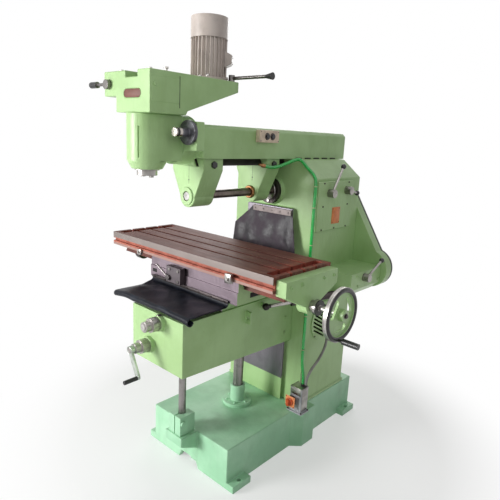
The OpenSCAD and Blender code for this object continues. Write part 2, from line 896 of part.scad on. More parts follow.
module feed_box() {
    x = feed_box_x;
    z = feed_box_z;
    color(paint) difference() {
        union() {
            plate_y(feed_box_y) polygon([[x[0], z[0]], [x[1] - feed_box_round, z[0]],
                [x[1], z[0] + feed_box_round], [x[1], z[1]], [x[0], z[1]]]);
            bar_y(stub_r, cardan_rear[0], [cardan_rear[1] + sleeve_ball_r + face_gap, feed_box_y[0] + over],
                cardan_rear[2]);
        }
        bar_y(feed_shaft_r + run_gap, feed_pulley_x, [col_back - feed_shaft_seat, col_back + over],
            feed_pulley_z);
        bar_x(lever_shaft_r + run_gap, [x[1] - lever_inner_len - over, x[1] + over],
            feed_lever_y, feed_lever_z);
        bar_y(feed_hole_r, feed_hole_x, [feed_box_y[0] - over, feed_box_y[0] + feed_hole_depth], feed_lever_z);
    }
}

module guard_outline(inset) {
    hull() {
        translate([lay_x, lay_z]) circle(r = guard_bar_r - inset, $fn = 32);
        translate(guard_bar_end) circle(r = guard_bar_r - inset, $fn = 32);
    }
    translate(guard_eye) circle(r = guard_low_r - inset);
}
module belt_guard() {
    color(paint) difference() {
        union() {
            plate_y(guard_y) guard_outline(0);
            plate_y([guard_y[0], guard_y[0] + guard_wall]) polygon([[lay_x, lay_z], guard_bar_end,
                guard_eye, [col_w / 2, guard_eye[1]]]);
        }
        plate_y(grow(guard_y, -guard_wall)) guard_outline(guard_wall);
        bar_y(lay_r + guard_shaft_gap, lay_x, [guard_y[0] - over, mid(guard_y)], lay_z);
        bar_y(feed_shaft_r + guard_shaft_gap, feed_pulley_x, [guard_y[0] - over, mid(guard_y)], feed_pulley_z);
    }
}

module elevating_nut() {
    flange_z = [base_h, base_h + nut_flange_t];
    color(paint_base) difference() {
        union() {
            bar_z(nut_flange_r, 0, screw_y, flange_z);
            bar_z(nut_sleeve_r, 0, screw_y, [base_h, flange_z[1] + nut_sleeve_h]);
            for (i = [0 : nut_bolts - 1]) rotate_about(0, screw_y, i * 360 / nut_bolts)
                bar_z(nut_bolt_r, mid([nut_sleeve_r, nut_flange_r]), screw_y,
                    [base_h, flange_z[1] + nut_bolt_h]);
        }
        bar_z(elevating_d / 2 + run_gap, 0, screw_y, grow([base_h, flange_z[1] + nut_sleeve_h], over));
    }
}
module rotate_about(x, y, a) {
    translate([x, y, 0]) rotate([0, 0, a]) translate([-x, -y, 0]) children();
}

module post_clamp() {
    z = [base_h, base_h + clamp_h];
    bolt_z = z[1] - clamp_bolt_drop;
    bolt_y = mid([clamp_y[0], post_y - post_d / 2]);
    color(paint_base) {
        difference() {
            block(both(clamp_w / 2), clamp_y, z);
            bar_z(post_d / 2 + run_gap, 0, post_y, grow(z, over));
            block(both(clamp_slit / 2), [clamp_y[0] - over, post_y], grow(z, over));
        }
        bar_x(clamp_bolt_r, both(clamp_w / 2), bolt_y, bolt_z);
        bar_x(clamp_head_r, [clamp_w / 2, clamp_w / 2 + clamp_head_t], bolt_y, bolt_z);
    }
}

module isolator_box() {
    color([0.55, 0.55, 0.57]) difference() {
        union() {
            block(isolator_x, isolator_y, isolator_z);
            block(grow(isolator_x, isolator_flange_out), [isolator_y[0] - isolator_flange_out, isolator_y[1]],
                [base_h, base_h + isolator_flange_t]);
            block(both(isolator_neck_w / 2) + [isolator_knob_x, isolator_knob_x],
                [isolator_face_y + over, isolator_y[0] + over],
                both(isolator_neck_w / 2) + [isolator_knob_z, isolator_knob_z]);
            block(both(isolator_plate_w / 2) + [isolator_knob_x, isolator_knob_x],
                [isolator_face_y, isolator_face_y + isolator_plate_t],
                both(isolator_plate_w / 2) + [isolator_knob_z, isolator_knob_z]);
        }
        bar_y(isolator_shaft_r + run_gap, isolator_knob_x,
            [isolator_face_y - over, isolator_face_y + isolator_shaft_len], isolator_knob_z);
    }
}

module main_motor() {
    color(motor_grey) difference() {
        union() {
            bar_y(motor_d / 2, 0, motor_y, motor_z);
            block(both(motor_foot_x), grow(motor_y, -motor_foot_inset),
                [shelf_z[1], motor_z - motor_d * motor_foot_share]);
        }
        bar_y(motor_shaft_r + run_gap, 0, [motor_y[1] - motor_shaft_seat - over, motor_y[1] + over], motor_z);
    }
}

module main_belt() {
    color(black) plate_y(main_belt_y) belt_loop([lay_x, lay_z], lay_pulley_r, [0, motor_z], motor_pulley_d / 2);
}

module feed_belt() {
    color(black) plate_y(feed_belt_y)
        belt_loop([lay_x, lay_z], feed_drive_r, [feed_pulley_x, feed_pulley_z], feed_pulley_d / 2);
}

module way_strip() {
    y = -2 * face_gap - way_cover_t;
    color(steel) block(strip_x, [y - strip_t, y], strip_z);
}

// The cover's depth at a share of its drop and of its width
function cover_free(s) = max(0, s - way_cover_flat_share) / (1 - way_cover_flat_share);
function cover_y_at(s, u) = -face_gap - cover_free(s) * (way_cover_sag
    + way_cover_fold * (1 - cos(360 * way_cover_folds * u)) / 2);
function cover_point(s, u, back) = [along(
        along(strip_x[0], way_cover_left, min(1, s / way_cover_shoulder_share)),
        along(strip_x[1], way_cover_right, s), u),
    cover_y_at(s, u) - (back ? 0 : way_cover_t), along(strip_z[1], way_cover_bottom_z, s)];
function cover_grid(back) = [for (i = [0 : way_cover_steps[1]]) [for (k = [0 : way_cover_steps[0]])
    cover_point(i / way_cover_steps[1], k / way_cover_steps[0], back)]];
module way_cover() {
    color([0.20, 0.19, 0.22]) sheet(cover_grid(false), cover_grid(true));
}

module coolant_hose() {
    color([0.10, 0.75, 0.35]) tube(hose_route, hose_r, hose_sides, [0, 1, 0]);
}

module motor_cable() {
    color([0.45, 0.45, 0.45]) tube(cable_route, cable_r, hose_sides, [1, 0, 0]);
}

module ring_y(outer, inner, x, y, z) {
    difference() {
        bar_y(outer, x, y, z);
        bar_y(inner, x, grow(y, over), z);
    }
}
module spindle_bearings() {
    color(steel) {
        ring_y(front_bearing_r, spindle_r + run_gap, 0, [rail_depth, rail_depth + bearing_len], spindle_z);
        ring_y(rear_bearing_r, spindle_tail_r + run_gap, 0, [cavity_y[1], col_back], spindle_z);
    }
}

module main_spindle() {
    face = nose_boss_y - face_gap;
    neck = cavity_y[0] + inner_boss_len;
    color(dark_steel) difference() {
        union() {
            bar_y(spindle_flange_r, 0, [face - spindle_flange_t, face], spindle_z);
            bar_y(spindle_r, 0, [face - over, neck], spindle_z);
            bar_y(spindle_mid_r, 0, [neck - over, cavity_y[1] - over], spindle_z);
            bar_y(spindle_tail_r, 0, [cavity_y[1] - 2 * over, col_back], spindle_z);
        }
        bar_y(arbor_shank_r, 0,
            [face - spindle_flange_t - over, face - spindle_flange_t + arbor_shank_len], spindle_z);
        for (s = [-1, 1]) block(both(key_w / 2) + s * [spindle_r, spindle_r],
            [face - spindle_flange_t - over, face - spindle_flange_t / 2],
            both(key_w / 2) + [spindle_z, spindle_z]);
    }
}

module milling_arbor() {
    seat = nose_boss_y - face_gap - spindle_flange_t;
    color(dark_steel) {
        bar_y(arbor_d / 2, 0, [arbor_end_y, seat], spindle_z);
        bar_y(arbor_shank_r - run_gap, 0, [seat, seat + arbor_shank_len], spindle_z);
    }
}

module spindle_gear() {
    color(steel) plate_y(gear_y) translate([0, spindle_z]) difference() {
        gear_outline(gear_teeth, pinion_angle);
        circle(r = spindle_mid_r);
    }
}

module layshaft() {
    color(steel) {
        bar_y(lay_r, lay_x, [cavity_y[0] - lay_seat + over, lay_end_y], lay_z);
        plate_y(grow(gear_y, -pinion_extra)) translate([lay_x, lay_z])
            gear_outline(pinion_teeth, pinion_angle + 180 + 180 / pinion_teeth);
    }
}

module layshaft_pulleys() {
    color(dark_steel) difference() {
        union() {
            pulley(lay_pulley_r, lay_x, grow(main_belt_y, face_gap), lay_z);
            pulley(feed_drive_r, lay_x, grow(feed_belt_y, face_gap), lay_z);
        }
        bar_y(lay_r, lay_x, [cavity_y[0], lay_end_y + over], lay_z);
    }
}

module motor_pulley() {
    color(dark_steel) {
        bar_y(motor_shaft_r, 0, [motor_y[1] - motor_shaft_seat, main_belt_y[1] + pulley_cheek], motor_z);
        pulley(motor_pulley_d / 2, 0, grow(main_belt_y, face_gap), motor_z);
    }
}

module feed_pulley() {
    color(dark_steel) {
        bar_y(feed_shaft_r, feed_pulley_x, [col_back - feed_shaft_seat + over, feed_belt_y[1] + pulley_cheek],
            feed_pulley_z);
        pulley(feed_pulley_d / 2, feed_pulley_x, grow(feed_belt_y, face_gap), feed_pulley_z);
    }
}

module range_lever() {
    color(steel) side_lever(col_w / 2 + cover_t, range_y, range_z, range_arm, range_tilt);
}

module speed_lever() {
    color(steel) side_lever(col_w / 2 + cover_t, speed_y, speed_z, speed_arm, speed_tilt);
}

module feed_lever() {
    color(steel) side_lever(feed_box_x[1], feed_lever_y, feed_lever_z, feed_lever_arm, feed_lever_tilt);
}

module isolator_knob() {
    x = isolator_knob_x;
    face = isolator_face_y - face_gap;
    color([0.90, 0.45, 0.12]) {
        bar_y(isolator_shaft_r, x, [face - over, isolator_face_y + isolator_shaft_len - over], isolator_knob_z);
        bar_y(isolator_disc_r, x, [face - isolator_disc_t, face], isolator_knob_z);
        block(both(isolator_grip_w / 2) + [x, x],
            [face - isolator_disc_t - isolator_grip_t, face - isolator_disc_t],
            both(isolator_disc_r - isolator_grip_w / 4) + [isolator_knob_z, isolator_knob_z]);
    }
}

module feed_sleeve() {
    color(steel) {
        translate(cardan_rear) sphere(r = sleeve_ball_r);
        aim(cardan_rear, cardan_run) difference() {
            cylinder(r = sleeve_d / 2, h = sleeve_len);
            translate([0, 0, sleeve_ball_r + sleeve_wall])
                cylinder(r = sleeve_d / 2 - sleeve_wall, h = sleeve_len);
        }
    }
}

module feed_rod() {
    color(steel) {
        translate(cardan_front) sphere(r = rod_ball_r);
        aim(cardan_front, -cardan_run) cylinder(r = cardan_rod_d / 2, h = rod_len);
    }
}

module knee_casting() {
    inner_x = both(knee_w / 2 - knee_wall);
    front = -knee_front;
    back = rail_depth - knee_arm_gap;
    color(paint) difference() {
        union() {
            difference() {
                plate_x(knee_x) polygon([[front, knee_bottom_z], [back, knee_bottom_z - knee_rear_drop],
                    [back, knee_top_z], [front, knee_top_z]]);
                block(inner_x, [front + knee_wall, -knee_wall - rail_depth],
                    [knee_bottom_z - knee_rear_drop - over, knee_top_z - knee_deck_t]);
            }
            plate_y(knee_rail_y) dovetail(0, knee_rail_root_w / 2, knee_rail_w / 2, knee_top_z,
                knee_top_z + knee_rail_h, 0);
            for (c = [[cross_x, cross_z], [crank_x, crank_z]])
                bar_y(front_boss_r, c[0], [front - front_boss_t, front + over], c[1], $fn = 8);
            block(both(dial_r) + [crank_x, crank_x], [crank_rear_y - web_t, crank_rear_y],
                [crank_z - crank_r - web_pad, knee_top_z - knee_deck_t + over]);
            bar_z(screw_boss_r, 0, screw_y, [screw_boss_z, knee_top_z - knee_deck_t + over]);
            bar_z(post_knee_boss_r, 0, post_y, [knee_bottom_z, post_top_z + over]);
            block(both(post_web / 2), [front + knee_wall - over, post_y], [knee_bottom_z, post_top_z]);
            block([knee_w / 2 - over, knee_w / 2 + lug_out], [lug_y, lug_y + lug_t], lug_z);
            bar_x(stub_r, [knee_w / 2 - over, cardan_front[0] - rod_ball_r - face_gap], cardan_front[1],
                cardan_front[2]);
        }
        plate_z([0, arm_z]) polygon([[-rail_root_w / 2 - slide_gap, rail_depth + over],
            [-rail_root_w / 2 - slide_gap, rail_depth], [-rail_w / 2 - slide_gap, -slide_gap],
            [rail_w / 2 + slide_gap, -slide_gap], [rail_root_w / 2 + slide_gap, rail_depth],
            [rail_root_w / 2 + slide_gap, rail_depth + over]]);
        block(both(cross_slot_w / 2) + [cross_x, cross_x], cross_slot_y,
            [knee_top_z - knee_deck_t - over, knee_top_z + knee_rail_h + over]);
        bar_y(cross_r + run_gap, cross_x, [front - front_boss_t - over, cross_end_y], cross_z);
        bar_y(crank_r + run_gap, crank_x, [front - front_boss_t - over, front + knee_wall + over], crank_z);
        bar_y(crank_r + run_gap, crank_x, grow([crank_rear_y - web_t, crank_rear_y], over), crank_z);
        bar_z(screw_neck_r + run_gap, 0, screw_y,
            [screw_boss_z - over, knee_top_z - knee_deck_t - screw_boss_roof]);
        bar_z(post_d / 2, 0, post_y, [knee_bottom_z - knee_rear_drop, post_top_z]);
        bar_y(lug_hole_r, knee_w / 2 + lug_out / 2, grow([lug_y, lug_y + lug_t], over), mid(lug_z));
    }
}

module knee_post() {
    color(steel) bar_z(post_d / 2, 0, post_y, [post_bottom_z, post_top_z]);
}

// A dial collar with a clutch end on a shaft that comes out of the knee's front
module front_dial(x, z) {
    face = -knee_front - front_boss_t - face_gap;
    bar_y(dial_r, x, [face - dial_t, face], z);
    bar_y(dial_tip_r, x, [face - dial_t - dial_tip_t, face - dial_t], z);
}

module crank_shaft() {
    tip = -knee_front - front_boss_t - face_gap - dial_t - dial_tip_t;
    color(steel) {
        bar_y(crank_r, crank_x, [tip - crank_hub_t, crank_rear_y], crank_z);
        front_dial(crank_x, crank_z);
        bar_y(skew_gear_r, crank_x, both(skew_gear_w / 2) + [screw_y, screw_y], crank_z);
    }
}

module knee_crank() {
    tip = -knee_front - front_boss_t - face_gap - dial_t - dial_tip_t;
    y = [tip - crank_hub_t, tip];
    color([0.80, 0.90, 0.78]) translate([crank_x, 0, crank_z]) rotate([0, -crank_tilt, 0]) difference() {
        union() {
            bar_y(crank_hub_r, 0, y, 0);
            block(both(crank_arm_w / 2), [y[0], y[0] + crank_arm_t], [-crank_len, 0]);
            bar_y(crank_grip_r, 0, [y[0] - crank_grip_len, y[0] + crank_arm_t], -crank_len);
        }
        bar_y(crank_r, 0, grow(y, over), 0);
    }
}

module elevating_screw() {
    roof = knee_top_z - knee_deck_t - screw_boss_roof - over;
    color(dark_steel) {
        bar_z(elevating_d / 2, 0, screw_y, [screw_bottom_z, screw_head_z]);
        bar_z(screw_neck_r, 0, screw_y, [screw_head_z - over, roof]);
        bar_z(skew_gear_r, 0, screw_y, both(skew_gear_w / 2) + [crank_z, crank_z]);
    }
}

module cross_screw() {
    tip = -knee_front - front_boss_t - face_gap - dial_t - dial_tip_t;
    color(steel) {
        bar_y(cross_r, cross_x, [tip, cross_end_y - over], cross_z);
        front_dial(cross_x, cross_z);
    }
}

module saddle_casting() {
    floor_z = lead_z - lead_channel_floor;
    color(paint) difference() {
        union() {
            block(both(saddle_foot_w / 2), saddle_y, [knee_top_z + slide_gap, saddle_wing_z + over]);
            block(saddle_x, saddle_y, [saddle_wing_z, saddle_deck_z]);
            block(saddle_x, both(way_half) + [way_y, way_y], [saddle_deck_z - over, table_under_z - slide_gap]);
        }
        plate_x(grow(saddle_x, over)) dovetail(way_y, table_way_root, table_way_foot, table_under_z,
            table_under_z - table_way_h, slide_gap);
        block(grow(saddle_x, over), both(lead_channel_w / 2) + [way_y, way_y], [floor_z, table_under_z]);
        plate_y(grow(saddle_y, over)) dovetail(0, knee_rail_root_w / 2, knee_rail_w / 2, knee_top_z,
            knee_top_z + knee_rail_h, slide_gap);
    }
}

module feed_nuts() {
    floor_z = lead_z - lead_channel_floor;
    cross_top = knee_top_z + knee_rail_h + slide_gap;
    color([0.72, 0.55, 0.25]) {
        difference() {
            block(both(cross_nut_w / 2) + [cross_x, cross_x], cross_nut_y,
                [cross_z - cross_nut_drop, cross_top]);
            bar_y(cross_r + run_gap, cross_x, grow(cross_nut_y, over), cross_z);
        }
        difference() {
            block(lead_nut_x, both(lead_channel_w / 2) + [way_y, way_y],
                [floor_z, table_under_z - table_way_h - 2 * slide_gap]);
            bar_x(lead_d / 2 + run_gap, grow(lead_nut_x, over), way_y, lead_z);
        }
    }
}

// The apron's centre line in Y and Z: down the saddle's face, forward, then rolled under
apron_wall_y = saddle_y[0] - face_gap - apron_t / 2;
apron_bend = [for (a = [0 : apron_arc_step : 90]) [apron_wall_y - apron_bend_r * (1 - cos(a)),
    apron_z + apron_bend_r * (1 - sin(a))]];
apron_roll_y = saddle_y[0] - apron_reach;
apron_roll = [for (a = [90 : apron_arc_step : 360]) [apron_roll_y + apron_roll_r * cos(a),
    apron_z - apron_roll_r + apron_roll_r * sin(a)]];
apron_line = concat([[apron_wall_y, apron_z + apron_bend_r + apron_strip_h]], apron_bend,
    [for (t = apron_mid_shares) [along(apron_wall_y - apron_bend_r, apron_roll_y, t), apron_z]], apron_roll);
function apron_side(i, s) = let (t = tangent(apron_line, i)) apron_line[i] + s * apron_t / 2 * [-t[1], t[0]];
function apron_point(u, i, s) = let (p = apron_side(i, s), w = 2 * u - 1)
    [along(apron_x[0], apron_x[1], u), p[0], p[1] - apron_droop * w * w * w * w * (i < 2 ? 0 : 1)];
function apron_grid(s) = [for (k = [0 : apron_steps]) [for (i = [0 : len(apron_line) - 1])
    apron_point(k / apron_steps, i, s)]];
module apron() {
    color(black) sheet(apron_grid(-1), apron_grid(1));
}

module trip_block() {
    y = [saddle_y[0] - trip_out, saddle_y[0]];
    color(dark_steel) difference() {
        block(trip_x, y, trip_z);
        bar_y(trip_pin_r + run_gap, trip_pin_x, grow(y, over), trip_pin_z);
    }
}

module trip_lever() {
    face = saddle_y[0] - trip_out - face_gap;
    color(steel) {
        bar_y(trip_pin_r, trip_pin_x, [face - over, saddle_y[0] - over], trip_pin_z);
        bar_y(trip_boss_r, trip_pin_x, [face - trip_boss_t, face], trip_pin_z);
        translate([trip_pin_x, face - trip_boss_t / 2, trip_pin_z]) rotate([0, -trip_arm_tilt, 0])
            cylinder(r = trip_arm_r, h = trip_arm_len);
    }
}

module table_slab() {
    top = table_under_z + table_t;
    color([0.45, 0.38, 0.34]) difference() {
        union() {
            block(table_x, table_y, [table_under_z, top]);
            plate_x(table_x) dovetail(way_y, table_way_root, table_way_foot, table_under_z,
                table_under_z - table_way_h, 0);
        }
        for (k = [-1 : 1]) {
            y = mid(table_y) + k * slot_pitch;
            block(grow(table_x, over), both(slot_w / 2) + [y, y], [top - slot_depth, top + over]);
            block(grow(table_x, over), both(slot_foot_w / 2) + [y, y],
                [top - slot_depth, top - slot_depth + slot_foot_h]);
        }
        for (x = [table_x[0] + trough_inset, table_x[1] - trough_inset - trough_w])
            block([x, x + trough_w], grow(table_y, -trough_side), [top - trough_depth, top + over]);
        block(grow(table_x, over), [table_y[0] - over, table_y[0] + front_groove_depth],
            [table_under_z + front_groove_lift, table_under_z + front_groove_lift + front_groove_h]);
    }
}

module right_bracket() {
    x = [table_x[1], table_x[1] + bracket_t];
    y = grow(table_y, -bracket_side);
    top = table_under_z + table_t - bracket_top_drop;
    color(paint) difference() {
        union() {
            plate_x(x) polygon([[y[0], top], [y[1], top], [y[1], top - bracket_skirt],
                [way_y + bracket_boss_r, lead_z], [way_y - bracket_boss_r, lead_z],
                [y[0], top - bracket_skirt]]);
            bar_x(bracket_boss_r, x, way_y, lead_z);
        }
        bar_x(lead_d / 2 + run_gap, grow(x, over), way_y, lead_z);
    }
}

module left_bracket() {
    x = [table_x[0] - left_bracket_t, table_x[0]];
    y = grow(table_y, -left_bracket_side);
    top = table_under_z + table_t / 2;
    color(dark_steel) difference() {
        union() {
            plate_x(x) polygon([[y[0], top], [y[1], top], [y[1], top - bracket_skirt],
                [way_y + bracket_boss_r, lead_z], [way_y - bracket_boss_r, lead_z],
                [y[0], top - bracket_skirt]]);
            bar_x(bracket_boss_r, x, way_y, lead_z);
        }
        bar_x(lead_d / 2 + run_gap, grow(x, over), way_y, lead_z);
    }
}

module lead_screw() {
    face = table_x[1] + bracket_t + face_gap;
    color(steel) {
        bar_x(lead_d / 2, [table_x[0] - left_bracket_t - lead_tail, face + collar_t], way_y, lead_z);
        bar_x(collar_r, [face, face + collar_t], way_y, lead_z);
        bar_x(table_dial_r, [face + collar_t, face + collar_t + table_dial_t], way_y, lead_z);
        bar_x(wheel_shaft_r, [face + collar_t, wheel_x + wheel_hub_t / 2], way_y, lead_z);
    }
}

module table_handwheel() {
    rim_r = wheel_d / 2 - wheel_rim_r;
    hole_ring = mid([wheel_hub_r, rim_r]);
    color(paint) translate([wheel_x, way_y, lead_z]) rotate([0, 90, 0]) {
        difference() {
            union() {
                rotate_extrude() translate([rim_r, 0]) circle(r = wheel_rim_r);
                translate([0, 0, -wheel_hub_t / 2]) cylinder(r = wheel_hub_r, h = wheel_hub_t);
                translate([0, 0, -wheel_dish]) cylinder(r = rim_r, h = wheel_web_t);
            }
            translate([0, 0, -wheel_hub_t / 2 - over]) cylinder(r = wheel_shaft_r, h = wheel_hub_t + 2 * over);
            for (i = [0 : wheel_holes - 1]) hull() for (s = [-1, 1])
                rotate([0, 0, i * 360 / wheel_holes + s * wheel_hole_span])
                    translate([hole_ring, 0, -wheel_dish - over])
                        cylinder(r = wheel_hole_r, h = wheel_web_t + 2 * over, $fn = 24);
        }
        rotate([0, 0, wheel_handle_angle]) translate([0, rim_r, 0]) {
            cylinder(r = wheel_pin_r, h = wheel_rim_r + wheel_pin_len);
            translate([0, 0, wheel_rim_r + wheel_pin_len]) cylinder(r = wheel_handle_r, h = wheel_handle_len);
        }
    }
}

module overarm() {
    half = arm_w / 2;
    top = arm_z + arm_h;
    color(paint) difference() {
        union() {
            plate_y([-arm_front, arm_back]) polygon([[-half, arm_z], [half, arm_z], [half, top - arm_chamfer],
                [half - arm_chamfer, top], [arm_chamfer - half, top], [-half, top - arm_chamfer]]);
            plate_y([-arm_front, arm_back])
                dovetail(0, tongue_w / 2, tongue_foot_w / 2, arm_z, arm_z - tongue_h, 0);
            bar_y(swivel_r, 0, [-arm_front - swivel_boss_t, -arm_front + over], swivel_z);
        }
        for (y = [start_y, stop_y]) bar_x(button_stem_r + face_gap, [half - button_stem_len, half + over], y,
            mid(button_box_z));
    }
}

module button_box() {
    x = [arm_w / 2, arm_w / 2 + button_box_t];
    color([0.85, 0.80, 0.68]) difference() {
        block(x, button_box_y, button_box_z);
        for (y = [start_y, stop_y]) bar_x(button_stem_r + run_gap, grow(x, over), y, mid(button_box_z));
    }
}

module push_button(y) {
    face = arm_w / 2 + button_box_t;
    z = mid(button_box_z);
    color(black) {
        bar_x(button_r, [face + button_t / 2, face + button_t], y, z);
        bar_x(button_stem_r, [face - button_box_t, face + button_t], y, z);
    }
}
module start_button() {
    push_button(start_y);
}
module stop_button() {
    push_button(stop_y);
}

module arbor_support(y) {
    half = support_w / 2;
    top = arm_z - slide_gap;
    bolt_z = top - support_skirt / 2;
    color(paint) difference() {
        union() {
            plate_y(y) polygon([[-half, top], [half, top], [half, top - support_skirt],
                [support_boss_r, spindle_z], [-support_boss_r, spindle_z], [-half, top - support_skirt]]);
            bar_y(support_boss_r, 0, y, spindle_z);
            bar_x(support_bolt_r, [half - over, half + support_bolt_t], mid(y), bolt_z);
        }
        plate_y(grow(y, over)) dovetail(0, tongue_w / 2, tongue_foot_w / 2, arm_z, arm_z - tongue_h,
            slide_gap);
        bar_y(arbor_d / 2 + run_gap, 0, grow(y, over), spindle_z);
    }
}
module front_support() {
    arbor_support(front_support_y);
}
module rear_support() {
    arbor_support(rear_support_y);
}

module head_body() {
    half = quill_housing_w / 2;
    color(paint) difference() {
        union() {
            plate_z(housing_z) union() {
                translate([0, quill_y]) circle(r = half);
                polygon([[-half, quill_y], [half, quill_y], [half, housing_back_y], [-half, housing_back_y]]);
            }
            translate([0, quill_y, cone_bottom_z]) cylinder(r1 = cone_bottom_r, r2 = half,
                h = housing_z[0] - cone_bottom_z);
            bar_y(swivel_r, 0, swivel_y, swivel_z);
            block([bearing_block_x[0] - over, bearing_block_x[1]], bearing_block_y, bearing_block_z);
        }
        bar_z(quill_d / 2 + run_gap, 0, quill_y, grow([cone_bottom_z, housing_z[1]], over));
        rotate_about(0, quill_y, stop_slot_turn)
            block(both(stop_slot_w / 2), [quill_y - half - over, quill_y - half + stop_slot_depth],
                stop_slot_z);
        bar_y(quill_shaft_r + run_gap, quill_wheel_x, grow(bearing_block_y, over), quill_wheel_z);
    }
}

module gear_head() {
    half = gear_case_w / 2;
    z = [housing_z[1], case_top_z];
    pane_r = (pane_z[1] - pane_z[0]) / 2;
    pane_y = [case_front_y - over, case_front_y + pane_depth];
    color(paint) difference() {
        union() {
            plate_x(both(half)) polygon([[case_front_y, z[0]], [case_knuckle_y[0], z[0]],
                [case_knuckle_y[1], case_knuckle_z], [case_back_y, case_tail_z], [case_back_y, z[1]],
                [case_front_y, z[1]]]);
            block([left_case_x, -half + over], [case_front_y, left_case_y], [z[1] - left_case_drop, z[1]]);
        }
        block(notch_x, [case_front_y - over, case_front_y + notch_len], [z[1] - notch_depth, z[1] + over]);
        block(grow(pane_x, -pane_r), pane_y, pane_z);
        for (x = grow(pane_x, -pane_r)) bar_y(pane_r, x, pane_y, mid(pane_z));
        bar_z(spindle_room_r, 0, quill_y, [z[0] - over, spindle_room_z]);
        bar_y(lever_shaft_r + run_gap, head_lever_x, [case_front_y - over, case_front_y + lever_inner_len],
            head_lever_z);
        bar_z(motor_lever_pin_r + run_gap, motor_lever_x, motor_lever_y,
            [z[1] - motor_lever_pin_len, z[1] + over]);
    }
}

module head_motor() {
    r = head_motor_d / 2;
    z = [case_top_z, case_top_z + head_motor_h];
    cowl_z = z[1] - motor_cowl_h;
    color(motor_grey) {
        bar_z(motor_flange_r, 0, head_motor_y, [z[0], z[0] + motor_flange_t]);
        bar_z(r - fin_depth, 0, head_motor_y, [z[0] + motor_flange_t - over, cowl_z + over]);
        translate([0, head_motor_y, 0]) for (i = [0 : motor_fins - 1]) rotate([0, 0, i * 360 / motor_fins])
            block([r - fin_depth - over, r - over], both(fin_t / 2), [z[0] + motor_flange_t, cowl_z + over]);
        bar_z(r, 0, head_motor_y, [cowl_z, z[1]]);
        translate([0, head_motor_y, z[0] + terminal_lift]) rotate([0, 0, terminal_turn])
            plate_y(both(terminal_w / 2)) polygon([[r - fin_depth - over, 0],
                [r + terminal_out, terminal_slant], [r + terminal_out, terminal_h - terminal_slant],
                [r - fin_depth - over, terminal_h]]);
    }
}

module quill() {
    color(steel) difference() {
        bar_z(quill_d / 2, 0, quill_y, quill_z);
        bar_z(quill_bore_r + run_gap, 0, quill_y, grow(quill_z, over));
    }
}

module vertical_spindle() {
    color(steel) difference() {
        union() {
            bar_z(nose_d / 2, 0, quill_y, nose_z);
            bar_z(quill_bore_r, 0, quill_y, [nose_z[1] - over, spindle_top_z]);
            for (s = [-1, 1]) block(both(nose_key_w / 2) + s * nose_d * nose_key_share * [1, 1],
                both(nose_key_w / 2) + [quill_y, quill_y], [nose_z[0] - nose_key_h, nose_z[0] + over]);
        }
        bar_z(nose_bore_d / 2, 0, quill_y, [nose_z[0] - nose_key_h - over, nose_z[0] + nose_bore_len]);
    }
}

module quill_wheel() {
    color(black) {
        bar_y(quill_wheel_r, quill_wheel_x, quill_wheel_y, quill_wheel_z);
        bar_y(quill_hub_r, quill_wheel_x, [quill_hub_y, quill_wheel_y[1]], quill_wheel_z);
        bar_y(quill_shaft_r, quill_wheel_x, [quill_wheel_y[1] - over, bearing_block_y[1]], quill_wheel_z);
    }
}

module head_lever() {
    face = case_front_y - face_gap;
    y = [face - head_lever_hub_t, face];
    color(steel) {
        bar_y(lever_shaft_r, head_lever_x, [face - over, case_front_y + lever_inner_len - over], head_lever_z);
        bar_y(head_lever_hub_r, head_lever_x, y, head_lever_z);
        bar_x(lever_arm_r, [head_lever_x - head_lever_arm, head_lever_x], mid(y), head_lever_z);
        bar_x(head_lever_grip_r, [head_lever_x - head_lever_arm, head_lever_x - head_lever_arm
            + head_lever_grip_len], mid(y), head_lever_z);
    }
}

module motor_lever() {
    z = case_top_z + face_gap;
    arm_z_at = z + motor_lever_hub_t / 2;
    end = motor_lever_x + motor_lever_len;
    color(steel) {
        bar_z(motor_lever_hub_r, motor_lever_x, motor_lever_y, [z, z + motor_lever_hub_t]);
        bar_z(motor_lever_pin_r, motor_lever_x, motor_lever_y,
            [case_top_z - motor_lever_pin_len + over, z + over]);
        bar_x(motor_lever_r, [motor_lever_x, end], motor_lever_y, arm_z_at);
        translate([end - motor_lever_knob_len, motor_lever_y, arm_z_at]) rotate([0, 90, 0])
            cylinder(r1 = motor_lever_r, r2 = motor_lever_knob_r, h = motor_lever_knob_len);
    }
}

base_casting();
column_casting();
gear_cover();
vent_grille();
feed_box();
belt_guard();
elevating_nut();
post_clamp();
isolator_box();
main_motor();
main_belt();
feed_belt();
way_strip();
way_cover();
coolant_hose();
motor_cable();
spindle_bearings();
main_spindle();
milling_arbor();
spindle_gear();
layshaft();
layshaft_pulleys();
motor_pulley();
feed_pulley();
range_lever();
speed_lever();
feed_lever();
isolator_knob();
feed_sleeve();
feed_rod();
knee_casting();
knee_post();
crank_shaft();
knee_crank();
elevating_screw();
cross_screw();
saddle_casting();
feed_nuts();
apron();
trip_block();
trip_lever();
table_slab();
right_bracket();
left_bracket();
lead_screw();
table_handwheel();
overarm();
button_box();
start_button();
stop_button();
front_support();
rear_support();
head_body();
gear_head();
head_motor();
quill();
vertical_spindle();
quill_wheel();
head_lever();
motor_lever();
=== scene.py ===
"""Looks of the knee-type milling machine: materials, soft pieces, small fittings, light and camera.

X is to the right of the machine's front, Y to its back and Z up. Shapes are in millimetres, and
material masks and lamps in metres.
"""

import math

import bmesh
import bpy
from mathutils import Matrix, Vector, noise


